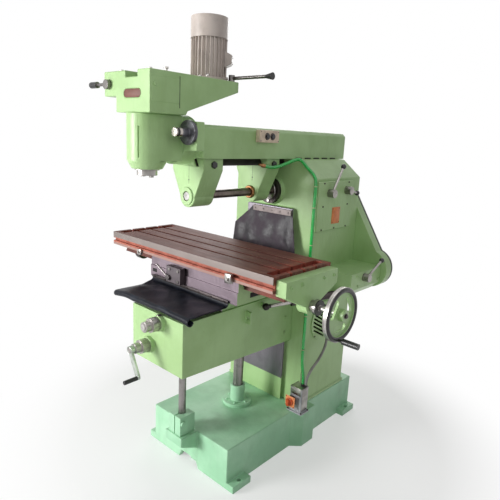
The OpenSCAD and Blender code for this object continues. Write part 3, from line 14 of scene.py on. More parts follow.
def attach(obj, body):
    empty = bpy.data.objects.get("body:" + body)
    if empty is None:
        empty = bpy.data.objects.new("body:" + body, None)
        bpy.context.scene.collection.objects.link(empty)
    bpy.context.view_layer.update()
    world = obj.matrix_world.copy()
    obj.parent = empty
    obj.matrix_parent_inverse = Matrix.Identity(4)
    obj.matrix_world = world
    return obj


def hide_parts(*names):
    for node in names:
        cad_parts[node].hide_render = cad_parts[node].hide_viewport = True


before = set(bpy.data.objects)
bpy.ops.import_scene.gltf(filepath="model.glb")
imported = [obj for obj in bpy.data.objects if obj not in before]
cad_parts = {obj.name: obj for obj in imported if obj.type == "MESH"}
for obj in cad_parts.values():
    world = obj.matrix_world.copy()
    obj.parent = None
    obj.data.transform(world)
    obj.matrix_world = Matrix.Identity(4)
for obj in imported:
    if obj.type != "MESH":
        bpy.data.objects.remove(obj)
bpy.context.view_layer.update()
scene = bpy.context.scene
scene.view_settings.view_transform = "Standard"

X, Y, Z = Vector((1, 0, 0)), Vector((0, 1, 0)), Vector((0, 0, 1))

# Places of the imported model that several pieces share, in millimetres

SPINDLE_Z = 1297
LEAD_SCREW_Y, LEAD_SCREW_Z = -325, 907
HEAD_MOTOR_Y = -437
GEAR_COVER_X = 266
LABEL_X = 268
VENT_X, VENT_Y, VENT_Z = 258, 185, 635
HOSE_X, HOSE_Y = 259, 17
ISOLATOR_TOP_Z = 335
FRONT_SUPPORT_Y, REAR_SUPPORT_Y = -540, -150
CASE_TOP_Z = 1765


def mm(x, y, z):
    """A point given in millimetres, in the row frame."""
    return Vector((x, y, z)) / 1000


def srgb(r, g, b):
    """An 8-bit display colour as the linear colour that a shader takes."""
    def linear(v):
        v /= 255
        return v / 12.92 if v <= 0.04045 else ((v + 0.055) / 1.055) ** 2.4
    return (linear(r), linear(g), linear(b), 1.0)


def dim(colour, share):
    """A darker colour of the same hue."""
    return tuple(v * share for v in colour[:3]) + (1,)


# Camera

PHOTO_PIXELS, FOCAL_PIXELS, SENSOR = 500, 482, 36
CAMERA_AT = (1.552, -1.854, 1.547)
CAMERA_YAW, CAMERA_PITCH, CAMERA_ROLL = 42, 13.1, 2.75


def place_camera():
    """The photograph's viewpoint: turned to the left, tipped down and rolled a little."""
    yaw, pitch, roll = (math.radians(a) for a in (CAMERA_YAW, CAMERA_PITCH, CAMERA_ROLL))
    look = Vector((-math.sin(yaw) * math.cos(pitch), math.cos(yaw) * math.cos(pitch), -math.sin(pitch)))
    right = Vector((math.cos(yaw), math.sin(yaw), 0))
    up = right.cross(look)
    tilted_right = right * math.cos(roll) + up * math.sin(roll)
    tilted_up = up * math.cos(roll) - right * math.sin(roll)
    data = bpy.data.cameras.new("camera")
    data.sensor_width = SENSOR
    data.lens = SENSOR * FOCAL_PIXELS / PHOTO_PIXELS
    camera = bpy.data.objects.new("camera", data)
    scene.collection.objects.link(camera)
    turn = Matrix((tilted_right, tilted_up, -look)).transposed().to_4x4()
    camera.matrix_world = Matrix.Translation(CAMERA_AT) @ turn
    scene.camera = camera


place_camera()


# Materials

class Surface:
    """One procedural material, grown layer by layer over a single shader."""

    NOISE_ROUGHNESS = 0.55
    COAT_ROUGHNESS = 0.15
    BALL_SOFTNESS = 0.0004

    def __init__(self, name, metal=0.0, rough=0.5):
        self.material = bpy.data.materials.new(name)
        self.material.use_nodes = True
        self.nodes = self.material.node_tree.nodes
        self.links = self.material.node_tree.links
        self.shader = self.nodes["Principled BSDF"]
        self.colour, self.metal, self.rough, self.normal = None, metal, rough, None
        self.place = self.nodes.new("ShaderNodeTexCoord").outputs["Object"]
        self.x, self.y, self.z = self.node("ShaderNodeSeparateXYZ", {0: self.place}).outputs

    def node(self, kind, inputs, **settings):
        made = self.nodes.new(kind)
        for key, value in settings.items():
            setattr(made, key, value)
        for key, value in inputs.items():
            self.plug(made.inputs[key], value)
        return made

    def plug(self, socket, value):
        if isinstance(value, bpy.types.NodeSocket):
            self.links.new(value, socket)
        else:
            socket.default_value = value

    def math(self, operation, a, b):
        return self.node("ShaderNodeMath", {0: a, 1: b}, operation=operation).outputs[0]

    def times(self, first, *others):
        """The product of masks and shares."""
        for other in others:
            first = self.math("MULTIPLY", first, other)
        return first

    def noise(self, scale, detail, stretch=(1, 1, 1)):
        moved = self.node("ShaderNodeVectorMath", {0: self.place, 1: stretch}, operation="MULTIPLY")
        made = self.node("ShaderNodeTexNoise", {"Vector": moved.outputs[0], "Scale": scale, "Detail": detail,
                                                "Roughness": self.NOISE_ROUGHNESS})
        return made.outputs[0]

    def step(self, value, low, high):
        """0 below low, 1 above high, smooth between; low may be the larger."""
        made = self.node("ShaderNodeMapRange", {"Value": value, "From Min": low, "From Max": high},
                         interpolation_type="SMOOTHSTEP")
        return made.outputs[0]

    def mix(self, mask, a, b):
        """a where the mask is 0, b where it is 1; colours or numbers."""
        if isinstance(a, tuple) or isinstance(b, tuple) or getattr(a, "type", "") == "RGBA":
            made = self.node("ShaderNodeMix", {"Factor": mask, 6: a, 7: b}, data_type="RGBA")
            return made.outputs[2]
        made = self.node("ShaderNodeMix", {"Factor": mask, 2: a, 3: b}, data_type="FLOAT")
        return made.outputs[0]

    def mottle(self, field, low, high, first, second):
        """Colour that goes from the first to the second as a field rises; gives the mask."""
        mask = self.step(field, low, high)
        self.colour = self.mix(mask, first, second)
        return mask

    def cover(self, mask, colour, metal=None, rough=None):
        """Lays another finish over what is there, where the mask is 1."""
        self.colour = self.mix(mask, self.colour, colour)
        if metal is not None and metal != self.metal:
            self.metal = self.mix(mask, self.metal, metal)
        if rough is not None and rough != self.rough:
            self.rough = self.mix(mask, self.rough, rough)
        return self

    def bump(self, height, depth):
        inputs = {"Height": height, "Distance": depth, "Strength": 1.0}
        if self.normal is not None:
            inputs["Normal"] = self.normal
        self.normal = self.node("ShaderNodeBump", inputs).outputs[0]
        return self

    def near(self, point, radius):
        """1 inside a ball about a point, in metres."""
        far = self.node("ShaderNodeVectorMath", {0: self.place, 1: tuple(point)}, operation="DISTANCE")
        return self.step(far.outputs["Value"], radius + self.BALL_SOFTNESS, radius - self.BALL_SOFTNESS)

    def off_lead_screw(self):
        """Distance from the lead screw's axis."""
        flat = self.node("ShaderNodeCombineXYZ", {0: 0.0, 1: self.y, 2: self.z}).outputs[0]
        axis = (0, LEAD_SCREW_Y / 1000, LEAD_SCREW_Z / 1000)
        return self.node("ShaderNodeVectorMath", {0: flat, 1: axis}, operation="DISTANCE").outputs["Value"]

    def done(self, coat=0.0, sheen=0.0, gloss=0.5):
        inputs = self.shader.inputs
        self.plug(inputs["Base Color"], self.colour)
        self.plug(inputs["Metallic"], self.metal)
        self.plug(inputs["Roughness"], self.rough)
        if self.normal is not None:
            self.plug(inputs["Normal"], self.normal)
        inputs["Specular IOR Level"].default_value = gloss
        inputs["Coat Weight"].default_value = coat
        inputs["Coat Roughness"].default_value = self.COAT_ROUGHNESS
        inputs["Sheen Weight"].default_value = sheen
        return self.material


STEEL, DARK_STEEL = srgb(176, 172, 168), srgb(78, 72, 72)
GRIP_BLACK = srgb(24, 23, 24)
GREEN, GREEN_SHADE = srgb(171, 204, 145), srgb(158, 191, 131)
MINT, MINT_SHADE = srgb(176, 220, 186), srgb(156, 206, 168)
ENAMEL = {"coat": 0.05, "gloss": 0.35}


def paint(name, colour=GREEN, shade=GREEN_SHADE):
    """Hand-brushed enamel: cloudy colour, brush drag, chips down to metal at worn edges, dark specks."""
    s = Surface(name)
    clouds = s.noise(5, 5)
    s.mottle(clouds, 0.36, 0.68, colour, shade)
    drag = s.noise(24, 3, (1.0, 1.0, 0.12))
    s.cover(s.times(s.step(drag, 0.5, 0.78), 0.22), dim(shade, 0.78))
    s.rough = s.mix(clouds, 0.28, 0.48)
    s.bump(s.noise(70, 3, (1, 1, 0.35)), 0.0012)
    edge = s.node("ShaderNodeNewGeometry", {}).outputs["Pointiness"]
    worn = s.times(s.step(edge, 0.56, 0.64), s.step(s.noise(55, 4), 0.52, 0.62))
    s.cover(worn, srgb(150, 150, 140), 0.6, 0.45)
    specks = s.step(s.noise(160, 2), 0.73, 0.77)
    return s.cover(s.times(specks, 0.6), srgb(86, 92, 70))


def bare(s, mask, colour, axis, rough=0.34):
    """Machined metal over paint, with cutter marks that run along an axis."""
    stretch = [220, 220, 220]
    stretch[axis] = 6
    marks = s.noise(1, 3, tuple(stretch))
    s.cover(mask, s.mix(marks, dim(colour, 0.72), colour), 1.0, rough)
    oil = s.step(s.noise(9, 4), 0.48, 0.68)
    return s.cover(s.times(mask, oil, 0.45), dim(colour, 0.5))


def metal(name, colour, rough=0.3, axis=None, scale=90):
    """Turned or ground steel with fine marks, handled stains and uneven polish."""
    s = Surface(name, 1.0)
    stretch = [1, 1, 1]
    if axis is not None:
        stretch[axis] = 12
    marks = s.noise(scale, 3, tuple(stretch))
    s.mottle(s.noise(18, 5), 0.42, 0.72, colour, dim(colour, 0.55))
    s.rough = s.mix(marks, rough - 0.1, rough + 0.14)
    return s.bump(marks, 0.0004)


def plain(name, colour, rough, metal_share=0.0, coat=0.0):
    """Moulded plastic, rubber or small painted parts: slight mottle and grain."""
    s = Surface(name, metal_share)
    s.mottle(s.noise(30, 4), 0.4, 0.7, colour, dim(colour, 0.75))
    s.rough = s.mix(s.noise(120, 3), rough - 0.07, rough + 0.1)
    return s.bump(s.noise(360, 2), 0.0003).done(coat)


def mint_paint():
    """The base's paler enamel, under workshop dust."""
    s = paint("mint_enamel", MINT, MINT_SHADE)
    dust = s.step(s.noise(7, 5, (1, 1, 0.4)), 0.5, 0.75)
    return s.cover(s.times(dust, 0.3), srgb(120, 150, 120), rough=0.7).done(gloss=0.25)


def motor_paint():
    """Grey paint with the grain of a sand casting."""
    s = Surface("motor_grey", rough=0.36)
    s.mottle(s.noise(12, 5), 0.4, 0.7, srgb(194, 182, 174), srgb(168, 156, 150))
    return s.bump(s.noise(260, 3), 0.0006).done(coat=0.1)


green = paint("green_enamel").done(**ENAMEL)
mint = mint_paint()
motor_grey = motor_paint()

steel = metal("ground_steel", STEEL).done()
turned_y = metal("turned_along_y", STEEL, 0.28, 1).done()
turned_z = metal("turned_along_z", srgb(150, 146, 144), 0.3, 2).done()
iron = metal("dark_iron", DARK_STEEL, 0.42, scale=60).done()
arbor_steel = metal("arbor_steel", srgb(122, 110, 106), 0.3, 1).done()
chrome = metal("bright_steel", srgb(214, 212, 208), 0.2, scale=40).done()
lever_grey = metal("lever_grey", srgb(128, 122, 122), 0.36).done()

# Black plastic parts; the same name is the slot of the black trims, some of which are painted shade.
black = plain("black_plastic", srgb(34, 33, 35), 0.32)
belt_rubber = plain("belt_rubber", srgb(30, 30, 31), 0.7)
hose_green = plain("hose_green", srgb(22, 186, 74), 0.22, coat=0.4)
cable_grey = plain("cable_grey", srgb(140, 138, 134), 0.5)
cream = plain("cream_box", srgb(226, 206, 182), 0.4)
bronze = plain("bronze", srgb(150, 108, 72), 0.4, 0.9)
orange = plain("orange_plate", srgb(224, 128, 62), 0.4)
red_knob = plain("red_knob", srgb(206, 84, 36), 0.3, coat=0.3)
# Black for engraved marks and small dark blocks, and painted shade where it stands for the saddle's slots
# and the case's seam.
black_fill_and_gap_shade = plain("black_fill_and_gap_shade", srgb(26, 24, 24), 0.8)
pane_red = plain("pane_red", srgb(104, 52, 36), 0.55)
trip_grey = plain("trip_grey", srgb(100, 92, 96), 0.42, 0.5)
strip_grey = plain("strip_grey", srgb(138, 126, 124), 0.5, 0.3)


def column_paint():
    """Enamel, with the bare ways down the front."""
    s = paint("column_enamel")
    front = s.step(s.y, 0.0236, 0.0232)
    inside = s.step(s.math("ABSOLUTE", s.x, 0.0), 0.152, 0.151)
    ways = s.times(front, inside, s.step(s.z, 1.2225, 1.2215), s.step(s.z, 0.322, 0.325))
    return bare(s, ways, srgb(134, 128, 136), 2, 0.4).done(**ENAMEL)


def arm_paint():
    """Enamel, with the bare dovetail under the overarm, darkened with painted shade."""
    s = paint("arm_enamel")
    under = s.times(s.step(s.z, 1.4575, 1.4565), s.step(s.y, -0.5496, -0.549))
    # The dovetail's bare metal has a dark colour that is partly painted shade, for the shadow under the
    # overarm.
    return bare(s, under, srgb(92, 86, 88), 1, 0.4).done(**ENAMEL)


def isolator_finish():
    """Silver-grey box with a dark switch neck and an orange switch plate."""
    s = Surface("isolator_grey", 0.15, 0.36)
    s.mottle(s.noise(24, 4), 0.4, 0.7, srgb(166, 168, 172), srgb(134, 137, 142))
    s.bump(s.noise(200, 3), 0.0004)
    neck = s.times(s.step(s.y, -0.0362, -0.0366), s.step(s.z, 0.2085, 0.209))
    s.cover(neck, srgb(74, 52, 46), 0.0, 0.5)
    s.cover(s.step(s.y, -0.0554, -0.0558), srgb(238, 150, 96), 0.0, 0.4)
    return s.done()


def rod_finish():
    """Turned rod with an oily dark joint ball."""
    s = metal("feed_rod_steel", STEEL, 0.28, 1)
    return s.cover(s.near(mm(200, -222, 788), 0.0235), srgb(52, 48, 48), 0.8, 0.4).done()


def knee_paint():
    """Enamel, with bare ways on top."""
    s = paint("knee_enamel")
    return bare(s, s.step(s.z, 0.8152, 0.8156), srgb(150, 144, 140), 1).done(**ENAMEL)


def saddle_paint():
    """Enamel, with a bare front and bare ways on top."""
    s = paint("saddle_enamel")
    front = s.times(s.step(s.y, -0.4735, -0.4745), s.step(s.x, 0.2576, 0.2568))
    top = s.step(s.z, 0.9792, 0.9796)
    return bare(s, s.math("MAXIMUM", front, top), srgb(138, 125, 133), 0, 0.46).done(**ENAMEL)


def table_iron():
    """Oily scraped iron, with red primer left in the end troughs and the front groove."""
    s = Surface("table_iron", 0.1)
    streaks = s.noise(1, 4, (5, 70, 5))
    s.mottle(streaks, 0.35, 0.7, srgb(98, 60, 54), srgb(122, 86, 78))
    stain = s.step(s.noise(6, 5, (0.5, 1, 1)), 0.44, 0.7)
    s.cover(s.times(stain, 0.55), srgb(86, 56, 51))
    s.rough = s.mix(s.noise(14, 4), 0.42, 0.66)
    s.bump(s.noise(1, 3, (20, 420, 20)), 0.0006)

    primer = s.mix(s.step(s.noise(40, 4), 0.35, 0.7), srgb(158, 78, 62), srgb(112, 58, 50))
    deep = s.times(s.step(s.z, 1.0442, 1.0436), s.step(s.z, 1.0, 1.001))
    across = s.times(s.step(s.y, -0.5163, -0.5155), s.step(s.y, -0.1345, -0.1353))
    along = s.times(s.step(s.x, -0.6045, -0.6035), s.step(s.x, 0.4715, 0.4705))
    sunk = s.times(deep, s.times(across, along))
    s.cover(sunk, srgb(96, 56, 48), 0.1, 0.6)
    right_end, left_end = s.step(s.x, 0.3, 0.385), s.step(s.x, -0.545, -0.556)
    s.cover(s.times(sunk, s.math("MAXIMUM", right_end, left_end)), primer, 0.0, 0.6)
    smear = s.times(right_end, s.step(s.noise(12, 4), 0.4, 0.62))
    s.cover(s.times(smear, 0.6), srgb(146, 80, 66), 0.1, 0.5)

    front = s.step(s.y, -0.515, -0.5158)
    s.cover(front, s.mix(streaks, srgb(118, 108, 105), srgb(146, 136, 131)), 0.6, 0.42)
    groove = s.times(s.step(s.z, 1.017, 1.0162), s.step(s.z, 0.9915, 0.9925))
    groove = s.times(groove, s.step(s.y, -0.49, -0.495))
    rust = s.mix(s.step(s.noise(30, 4), 0.35, 0.65), srgb(176, 106, 90), srgb(150, 86, 72))
    s.cover(groove, rust, 0.0, 0.55)
    blush = s.times(front, s.step(s.z, 0.9925, 0.9915))
    s.cover(s.times(blush, 0.35), srgb(190, 132, 116), 0.4, 0.5)
    return s.done(gloss=0.14)


def wheel_finish():
    """Polished rim with a dark outer half, painted web, dark handle."""
    s = paint("wheel_enamel")
    rim = s.step(s.off_lead_screw(), 0.0875, 0.0885)
    s.cover(rim, srgb(206, 204, 200), 1.0, 0.2)
    s.cover(s.times(rim, s.step(s.x, 0.6598, 0.6606)), srgb(34, 32, 32), 0.3, 0.3)
    s.cover(s.step(s.x, 0.6835, 0.684), srgb(30, 29, 30), 0.0, 0.35)
    return s.done(coat=0.1)


def lever_finish(name, ball):
    """Bright lever with a black ball, whose middle is given in millimetres."""
    s = metal(name, srgb(156, 152, 148), 0.28)
    return s.cover(s.near(mm(*ball), 0.0136), GRIP_BLACK, 0.0, 0.28).done()


def crank_finish():
    """Bright crank with a black handle."""
    s = metal("crank_bright", srgb(206, 214, 204), 0.3)
    return s.cover(s.step(s.y, -0.8028, -0.8032), GRIP_BLACK, 0.0, 0.4).done()


def grip_finish(name, edge, side):
    """Dark lever with a black grip past an X place, on its right (1) or left (-1)."""
    s = metal(name, srgb(120, 116, 114), 0.28)
    return s.cover(s.step(s.x, edge, edge + side * 0.0006), GRIP_BLACK, 0.0, 0.34).done()


def quill_wheel_finish():
    """Dark iron wheel on a bright hub, with a dark band of painted shade for a groove round the hub."""
    s = Surface("quill_wheel_iron", 0.6)
    s.mottle(s.noise(30, 4), 0.45, 0.7, srgb(108, 108, 114), srgb(62, 60, 64))
    s.rough = s.mix(s.noise(60, 3), 0.22, 0.42)
    s.bump(s.noise(150, 3), 0.0004)
    s.cover(s.step(s.y, -0.682, -0.6826), srgb(176, 170, 164), 1.0, 0.26)
    # Painted shade: a dark band stands for the shade in a groove round the hub.
    groove = s.times(s.step(s.y, -0.6944, -0.695), s.step(s.y, -0.7062, -0.7056))
    return s.cover(groove, srgb(34, 32, 33), 0.2, 0.4).done()


def dial_finish():
    """Ground lead screw whose dial ends in a black ring."""
    s = metal("lead_screw_steel", STEEL)
    dial_end = s.times(s.step(s.x, 0.5545, 0.555), s.step(s.x, 0.566, 0.5655))
    dial_end = s.times(dial_end, s.step(s.off_lead_screw(), 0.0125, 0.013))
    return s.cover(dial_end, srgb(36, 33, 35), 0.2, 0.36).done()


def guard_paint():
    """Green shell with a dark band round its rear edge."""
    s = paint("guard_enamel")
    dark_band = s.times(s.step(s.y, 0.482, 0.4825), s.step(s.y, 0.4975, 0.497))
    return s.cover(dark_band, srgb(40, 44, 38), 0.0, 0.5).done(**ENAMEL)


def feed_box_paint():
    """Enamel, with a bare shaft stub in front."""
    s = paint("feed_box_enamel")
    return bare(s, s.step(s.y, 0.1396, 0.139), srgb(150, 146, 142), 1).done(**ENAMEL)


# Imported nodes: finish and broken edges

WELD_GAP = 1e-5
FLAT_ANGLE, EDGE_ANGLE = math.radians(0.5), math.radians(35)


def dress(nodes, material, edge=None, segments=2):
    """Gives CAD nodes a finish, and their sharp edges a cast or broken corner of that many millimetres."""
    for name in nodes.split():
        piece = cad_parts[name]
        piece.data.materials.clear()
        piece.data.materials.append(material)
        if edge:
            weld = piece.modifiers.new("weld", "WELD")
            weld.merge_threshold = WELD_GAP
            flat = piece.modifiers.new("flat", "DECIMATE")
            flat.decimate_type = "DISSOLVE"
            flat.angle_limit = FLAT_ANGLE
            bevel = piece.modifiers.new("edges", "BEVEL")
            bevel.width = edge / 1000
            bevel.segments = segments
            bevel.limit_method = "ANGLE"
            bevel.angle_limit = EDGE_ANGLE
            bevel.use_clamp_overlap = False
            normals = piece.modifiers.new("normals", "WEIGHTED_NORMAL")
            normals.keep_sharp = False


dress("column_casting", column_paint(), 5, 3)
dress("knee_casting", knee_paint(), 3)
dress("saddle_casting", saddle_paint(), 2)
# A wider edge on the feed box throws a spike where its shaft stub touches its lower edge.
dress("feed_box", feed_box_paint(), 1)
dress("overarm", arm_paint(), 4, 3)
dress("gear_cover front_support rear_support head_body gear_head", green, 4, 3)
dress("belt_guard", guard_paint(), 2)
dress("right_bracket vent_grille", green, 2)
dress("base_casting", mint, 5, 3)
dress("elevating_nut post_clamp", mint, 2)
dress("table_slab", table_iron(), 1)
dress("trip_block", trip_grey, 1)
dress("left_bracket main_spindle layshaft_pulleys motor_pulley feed_pulley feed_sleeve", iron, 1)
dress("isolator_box", isolator_finish(), 2)
dress("isolator_knob", red_knob, 1.5)
dress("main_motor head_motor", motor_grey, 1.5)
dress("main_belt feed_belt", belt_rubber)
dress("way_strip", strip_grey, 1)
dress("spindle_bearings spindle_gear layshaft quill vertical_spindle", steel, 1)
dress("feed_rod", rod_finish())
dress("cross_screw crank_shaft", turned_y, 1)
dress("knee_post elevating_screw", turned_z)
dress("milling_arbor", arbor_steel, 1)
dress("trip_lever", lever_grey, 1)
dress("lead_screw", dial_finish(), 1)
dress("feed_nuts", bronze)
dress("button_box", cream, 4, 3)
dress("start_button stop_button", black, 1)
dress("quill_wheel", quill_wheel_finish(), 2)
dress("table_handwheel", wheel_finish())
dress("knee_crank", crank_finish(), 1.5)
dress("range_lever", lever_finish("range_lever_steel", (283, 206, 1431)))
dress("speed_lever", lever_finish("speed_lever_steel", (283, 358, 1295)))
dress("feed_lever", lever_finish("feed_lever_steel", (441, 398.4, 962.5)))
dress("head_lever", grip_finish("head_lever_dark", -0.218, -1), 1)
dress("motor_lever", grip_finish("motor_lever_dark", 0.269, 1), 1)


# Leads and soft pieces

def make_lead(name, node, route, radius, material):
    """A round lead on the same route as its solid."""
    data = bpy.data.curves.new(name, "CURVE")
    data.dimensions = "3D"
    data.bevel_depth = radius / 1000
    data.bevel_resolution = 6
    data.resolution_u = 8
    data.use_fill_caps = True
    spline = data.splines.new("BEZIER")
    spline.bezier_points.add(len(route) - 1)
    points = [mm(*p) for p in route]
    for i, knot in enumerate(spline.bezier_points):
        lean = (points[min(i + 1, len(points) - 1)] - points[max(i - 1, 0)]) / 6
        knot.co = points[i]
        knot.handle_left, knot.handle_right = points[i] - lean, points[i] + lean
    data.materials.append(material)
    piece = bpy.data.objects.new(name, data)
    scene.collection.objects.link(piece)
    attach(piece, "frame")
    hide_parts(node)


HOSE_ROUTE = [
    (281, 8, 335), (281, 8, 356), (278, 9, 388), (266, 14, 430),
    *((HOSE_X, HOSE_Y, z) for z in (480, 620, 780, 940, 1100, 1260, 1350)),
    (248, 16, 1388), (206, 15, 1423), (168, 14, 1454), (142, 0, 1454), (126, -40, 1438),
    (120, -90, 1424), (120, -145, 1420), (120, -200, 1428)]
CABLE_ROUTE = [
    (299, 8, 335), (299, 8, 356), (300, 16, 386), (304, 44, 424), (308, 92, 462),
    (304, 142, 506), (292, 176, 545), (280, 186, 570), (266, 190, 590)]

make_lead("hose_tube", "coolant_hose", HOSE_ROUTE, 7.8, hose_green)
make_lead("cable_tube", "motor_cable", CABLE_ROUTE, 6.8, cable_grey)


def grid_piece(name, columns, rows, point, thick, material, body):
    """A sheet on a grid of points, given its thickness and one subdivision."""
    data = bpy.data.meshes.new(name)
    verts = [point(i / columns, k / rows) for k in range(rows + 1) for i in range(columns + 1)]
    wide = columns + 1
    faces = [(k * wide + i, k * wide + i + 1, (k + 1) * wide + i + 1, (k + 1) * wide + i)
             for k in range(rows) for i in range(columns)]
    data.from_pydata(verts, [], faces)
    data.polygons.foreach_set("use_smooth", [True] * len(data.polygons))
    data.materials.append(material)
    piece = bpy.data.objects.new(name, data)
    scene.collection.objects.link(piece)
    shell = piece.modifiers.new("thickness", "SOLIDIFY")
    shell.thickness = thick / 1000
    shell.offset = 0
    smooth = piece.modifiers.new("smooth", "SUBSURF")
    smooth.levels = smooth.render_levels = 1
    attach(piece, body)
    return piece


def rubber():
    """Old black sheet rubber: chalky bloom, scuffs and swarf scratches."""
    s = Surface("apron_rubber")
    bloom = s.mottle(s.noise(14, 5), 0.5, 0.76, srgb(20, 23, 31), srgb(40, 44, 54))
    s.rough = s.mix(bloom, 0.36, 0.56)
    scuff = s.step(s.noise(1, 3, (30, 160, 60)), 0.7, 0.76)
    s.cover(s.times(scuff, 0.2), srgb(84, 84, 86))
    return s.bump(s.noise(90, 4), 0.0008).done(gloss=0.16)


def oilcloth():
    """Oiled woven cloth: fine crossed threads and darker, glossier oil patches."""
    s = Surface("way_cloth")
    oil = s.mottle(s.noise(11, 6), 0.4, 0.62, srgb(58, 48, 57), srgb(26, 21, 28))
    s.rough = s.mix(oil, 0.66, 0.36)
    weave = s.times(s.noise(1, 1, (900, 60, 60)), s.noise(1, 1, (60, 60, 900)))
    return s.bump(weave, 0.0006).done(sheen=0.08, gloss=0.3)


APRON_X = (-312, 212)
APRON_WALL_Y, APRON_Z, APRON_EDGE_Y = -483.3, 850, -690
APRON_STRIP, APRON_BEND, APRON_ROLL, APRON_FLARE = 10, 16, 12, 4
APRON_DROOP, APRON_SLACK = 12, 60
APRON_RIPPLE, APRON_RIPPLE_LOW = 6.5, -2.5
APRON_WAVE, APRON_WAVE_AT, APRON_WAVE_WIDTH = 9, 58, 20
APRON_RUN = APRON_WALL_Y - APRON_BEND - APRON_EDGE_Y
APRON_LENGTHS = (APRON_STRIP, APRON_BEND * math.pi / 2, APRON_RUN, APRON_ROLL * math.pi * 1.5)
APRON_LENGTH = sum(APRON_LENGTHS)


def apron_section(d, roll):
    """The apron's Y and Z, d millimetres from its clamped edge; roll is the radius at its far edge."""
    if d < APRON_STRIP:
        return APRON_WALL_Y, APRON_Z + APRON_BEND + APRON_STRIP - d
    d -= APRON_STRIP
    if d < APRON_LENGTHS[1]:
        a = d / APRON_BEND
        return APRON_WALL_Y - APRON_BEND * (1 - math.cos(a)), APRON_Z + APRON_BEND * (1 - math.sin(a))
    d -= APRON_LENGTHS[1]
    if d < APRON_RUN:
        return APRON_WALL_Y - APRON_BEND - d, APRON_Z
    a = (d - APRON_RUN) / APRON_ROLL
    return APRON_EDGE_Y - roll * math.sin(a), APRON_Z - roll * (1 - math.cos(a))


def apron_point(u, v):
    """The apron's roll thickens to the right, its left end sags, and it leaves its strip in waves."""
    d = v * APRON_LENGTH
    y, z = apron_section(d, APRON_ROLL + APRON_FLARE * u ** 12)
    free = min(1, max(0, d - APRON_STRIP - APRON_BEND) / APRON_SLACK)
    x = APRON_X[0] + (APRON_X[1] - APRON_X[0]) * u
    droop = APRON_DROOP * max(0, 1 - 2 * u) ** 4 * free
    ripple = free * max(APRON_RIPPLE_LOW, APRON_RIPPLE * noise.noise(Vector((x / 95, y / 120, 3))))
    swell = math.exp(-((d - APRON_WAVE_AT) / APRON_WAVE_WIDTH) ** 2)
    wave = APRON_WAVE * max(0, noise.noise(Vector((x / 48, 0.4, 7)))) * swell
    return mm(x, y, z - droop + ripple + wave)


def make_apron():
    """The rubber apron that hangs from the saddle's front."""
    piece = grid_piece("apron_sheet", 64, 60, apron_point, 5, rubber(), "saddle")
    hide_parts("apron")


COVER_TOP, COVER_BOTTOM, COVER_FLAT = 1214, 1000, 1 / 6
COVER_LEFT, COVER_LEFT_FLARE, COVER_RIGHT, COVER_RIGHT_FLARE = -100, 122, 146, 52
COVER_Y, COVER_Y_LIMIT = -2.3, -33.5
COVER_SAG, COVER_FOLD, COVER_FOLDS, COVER_CREASE = 22, 6, 5, 5


def cover_point(u, v):
    """The way cover widens as it drops, and its folds open towards the hem."""
    left = COVER_LEFT - COVER_LEFT_FLARE * min(1, v / 0.5)
    right = COVER_RIGHT + COVER_RIGHT_FLARE * v
    free = max(0, v - COVER_FLAT) / (1 - COVER_FLAT)
    fold = (1 - math.cos(2 * math.pi * COVER_FOLDS * u + 0.9 * math.sin(5 * u + 2 * v))) / 2
    crease = COVER_CREASE * noise.noise(Vector((u * 6, v * 4, 8)))
    y = COVER_Y - free * (COVER_SAG + COVER_FOLD * fold) - free * abs(crease)
    return mm(left + (right - left) * u, max(y, COVER_Y_LIMIT), COVER_TOP + (COVER_BOTTOM - COVER_TOP) * v)


def make_way_cover():
    """The oiled cloth that hangs over the column's ways."""
    piece = grid_piece("way_sheet", 120, 50, cover_point, 3, oilcloth(), "frame")
    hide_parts("way_cover")


make_apron()
make_way_cover()


# Small fittings, gathered into one mesh for each body and finish

SMOOTH_ANGLE = math.radians(35)


def stand(at, axis):
    """The move that stands a shape, made up the Z axis, on a point along another axis."""
    return Matrix.Translation(at) @ Z.rotation_difference(axis).to_matrix().to_4x4()


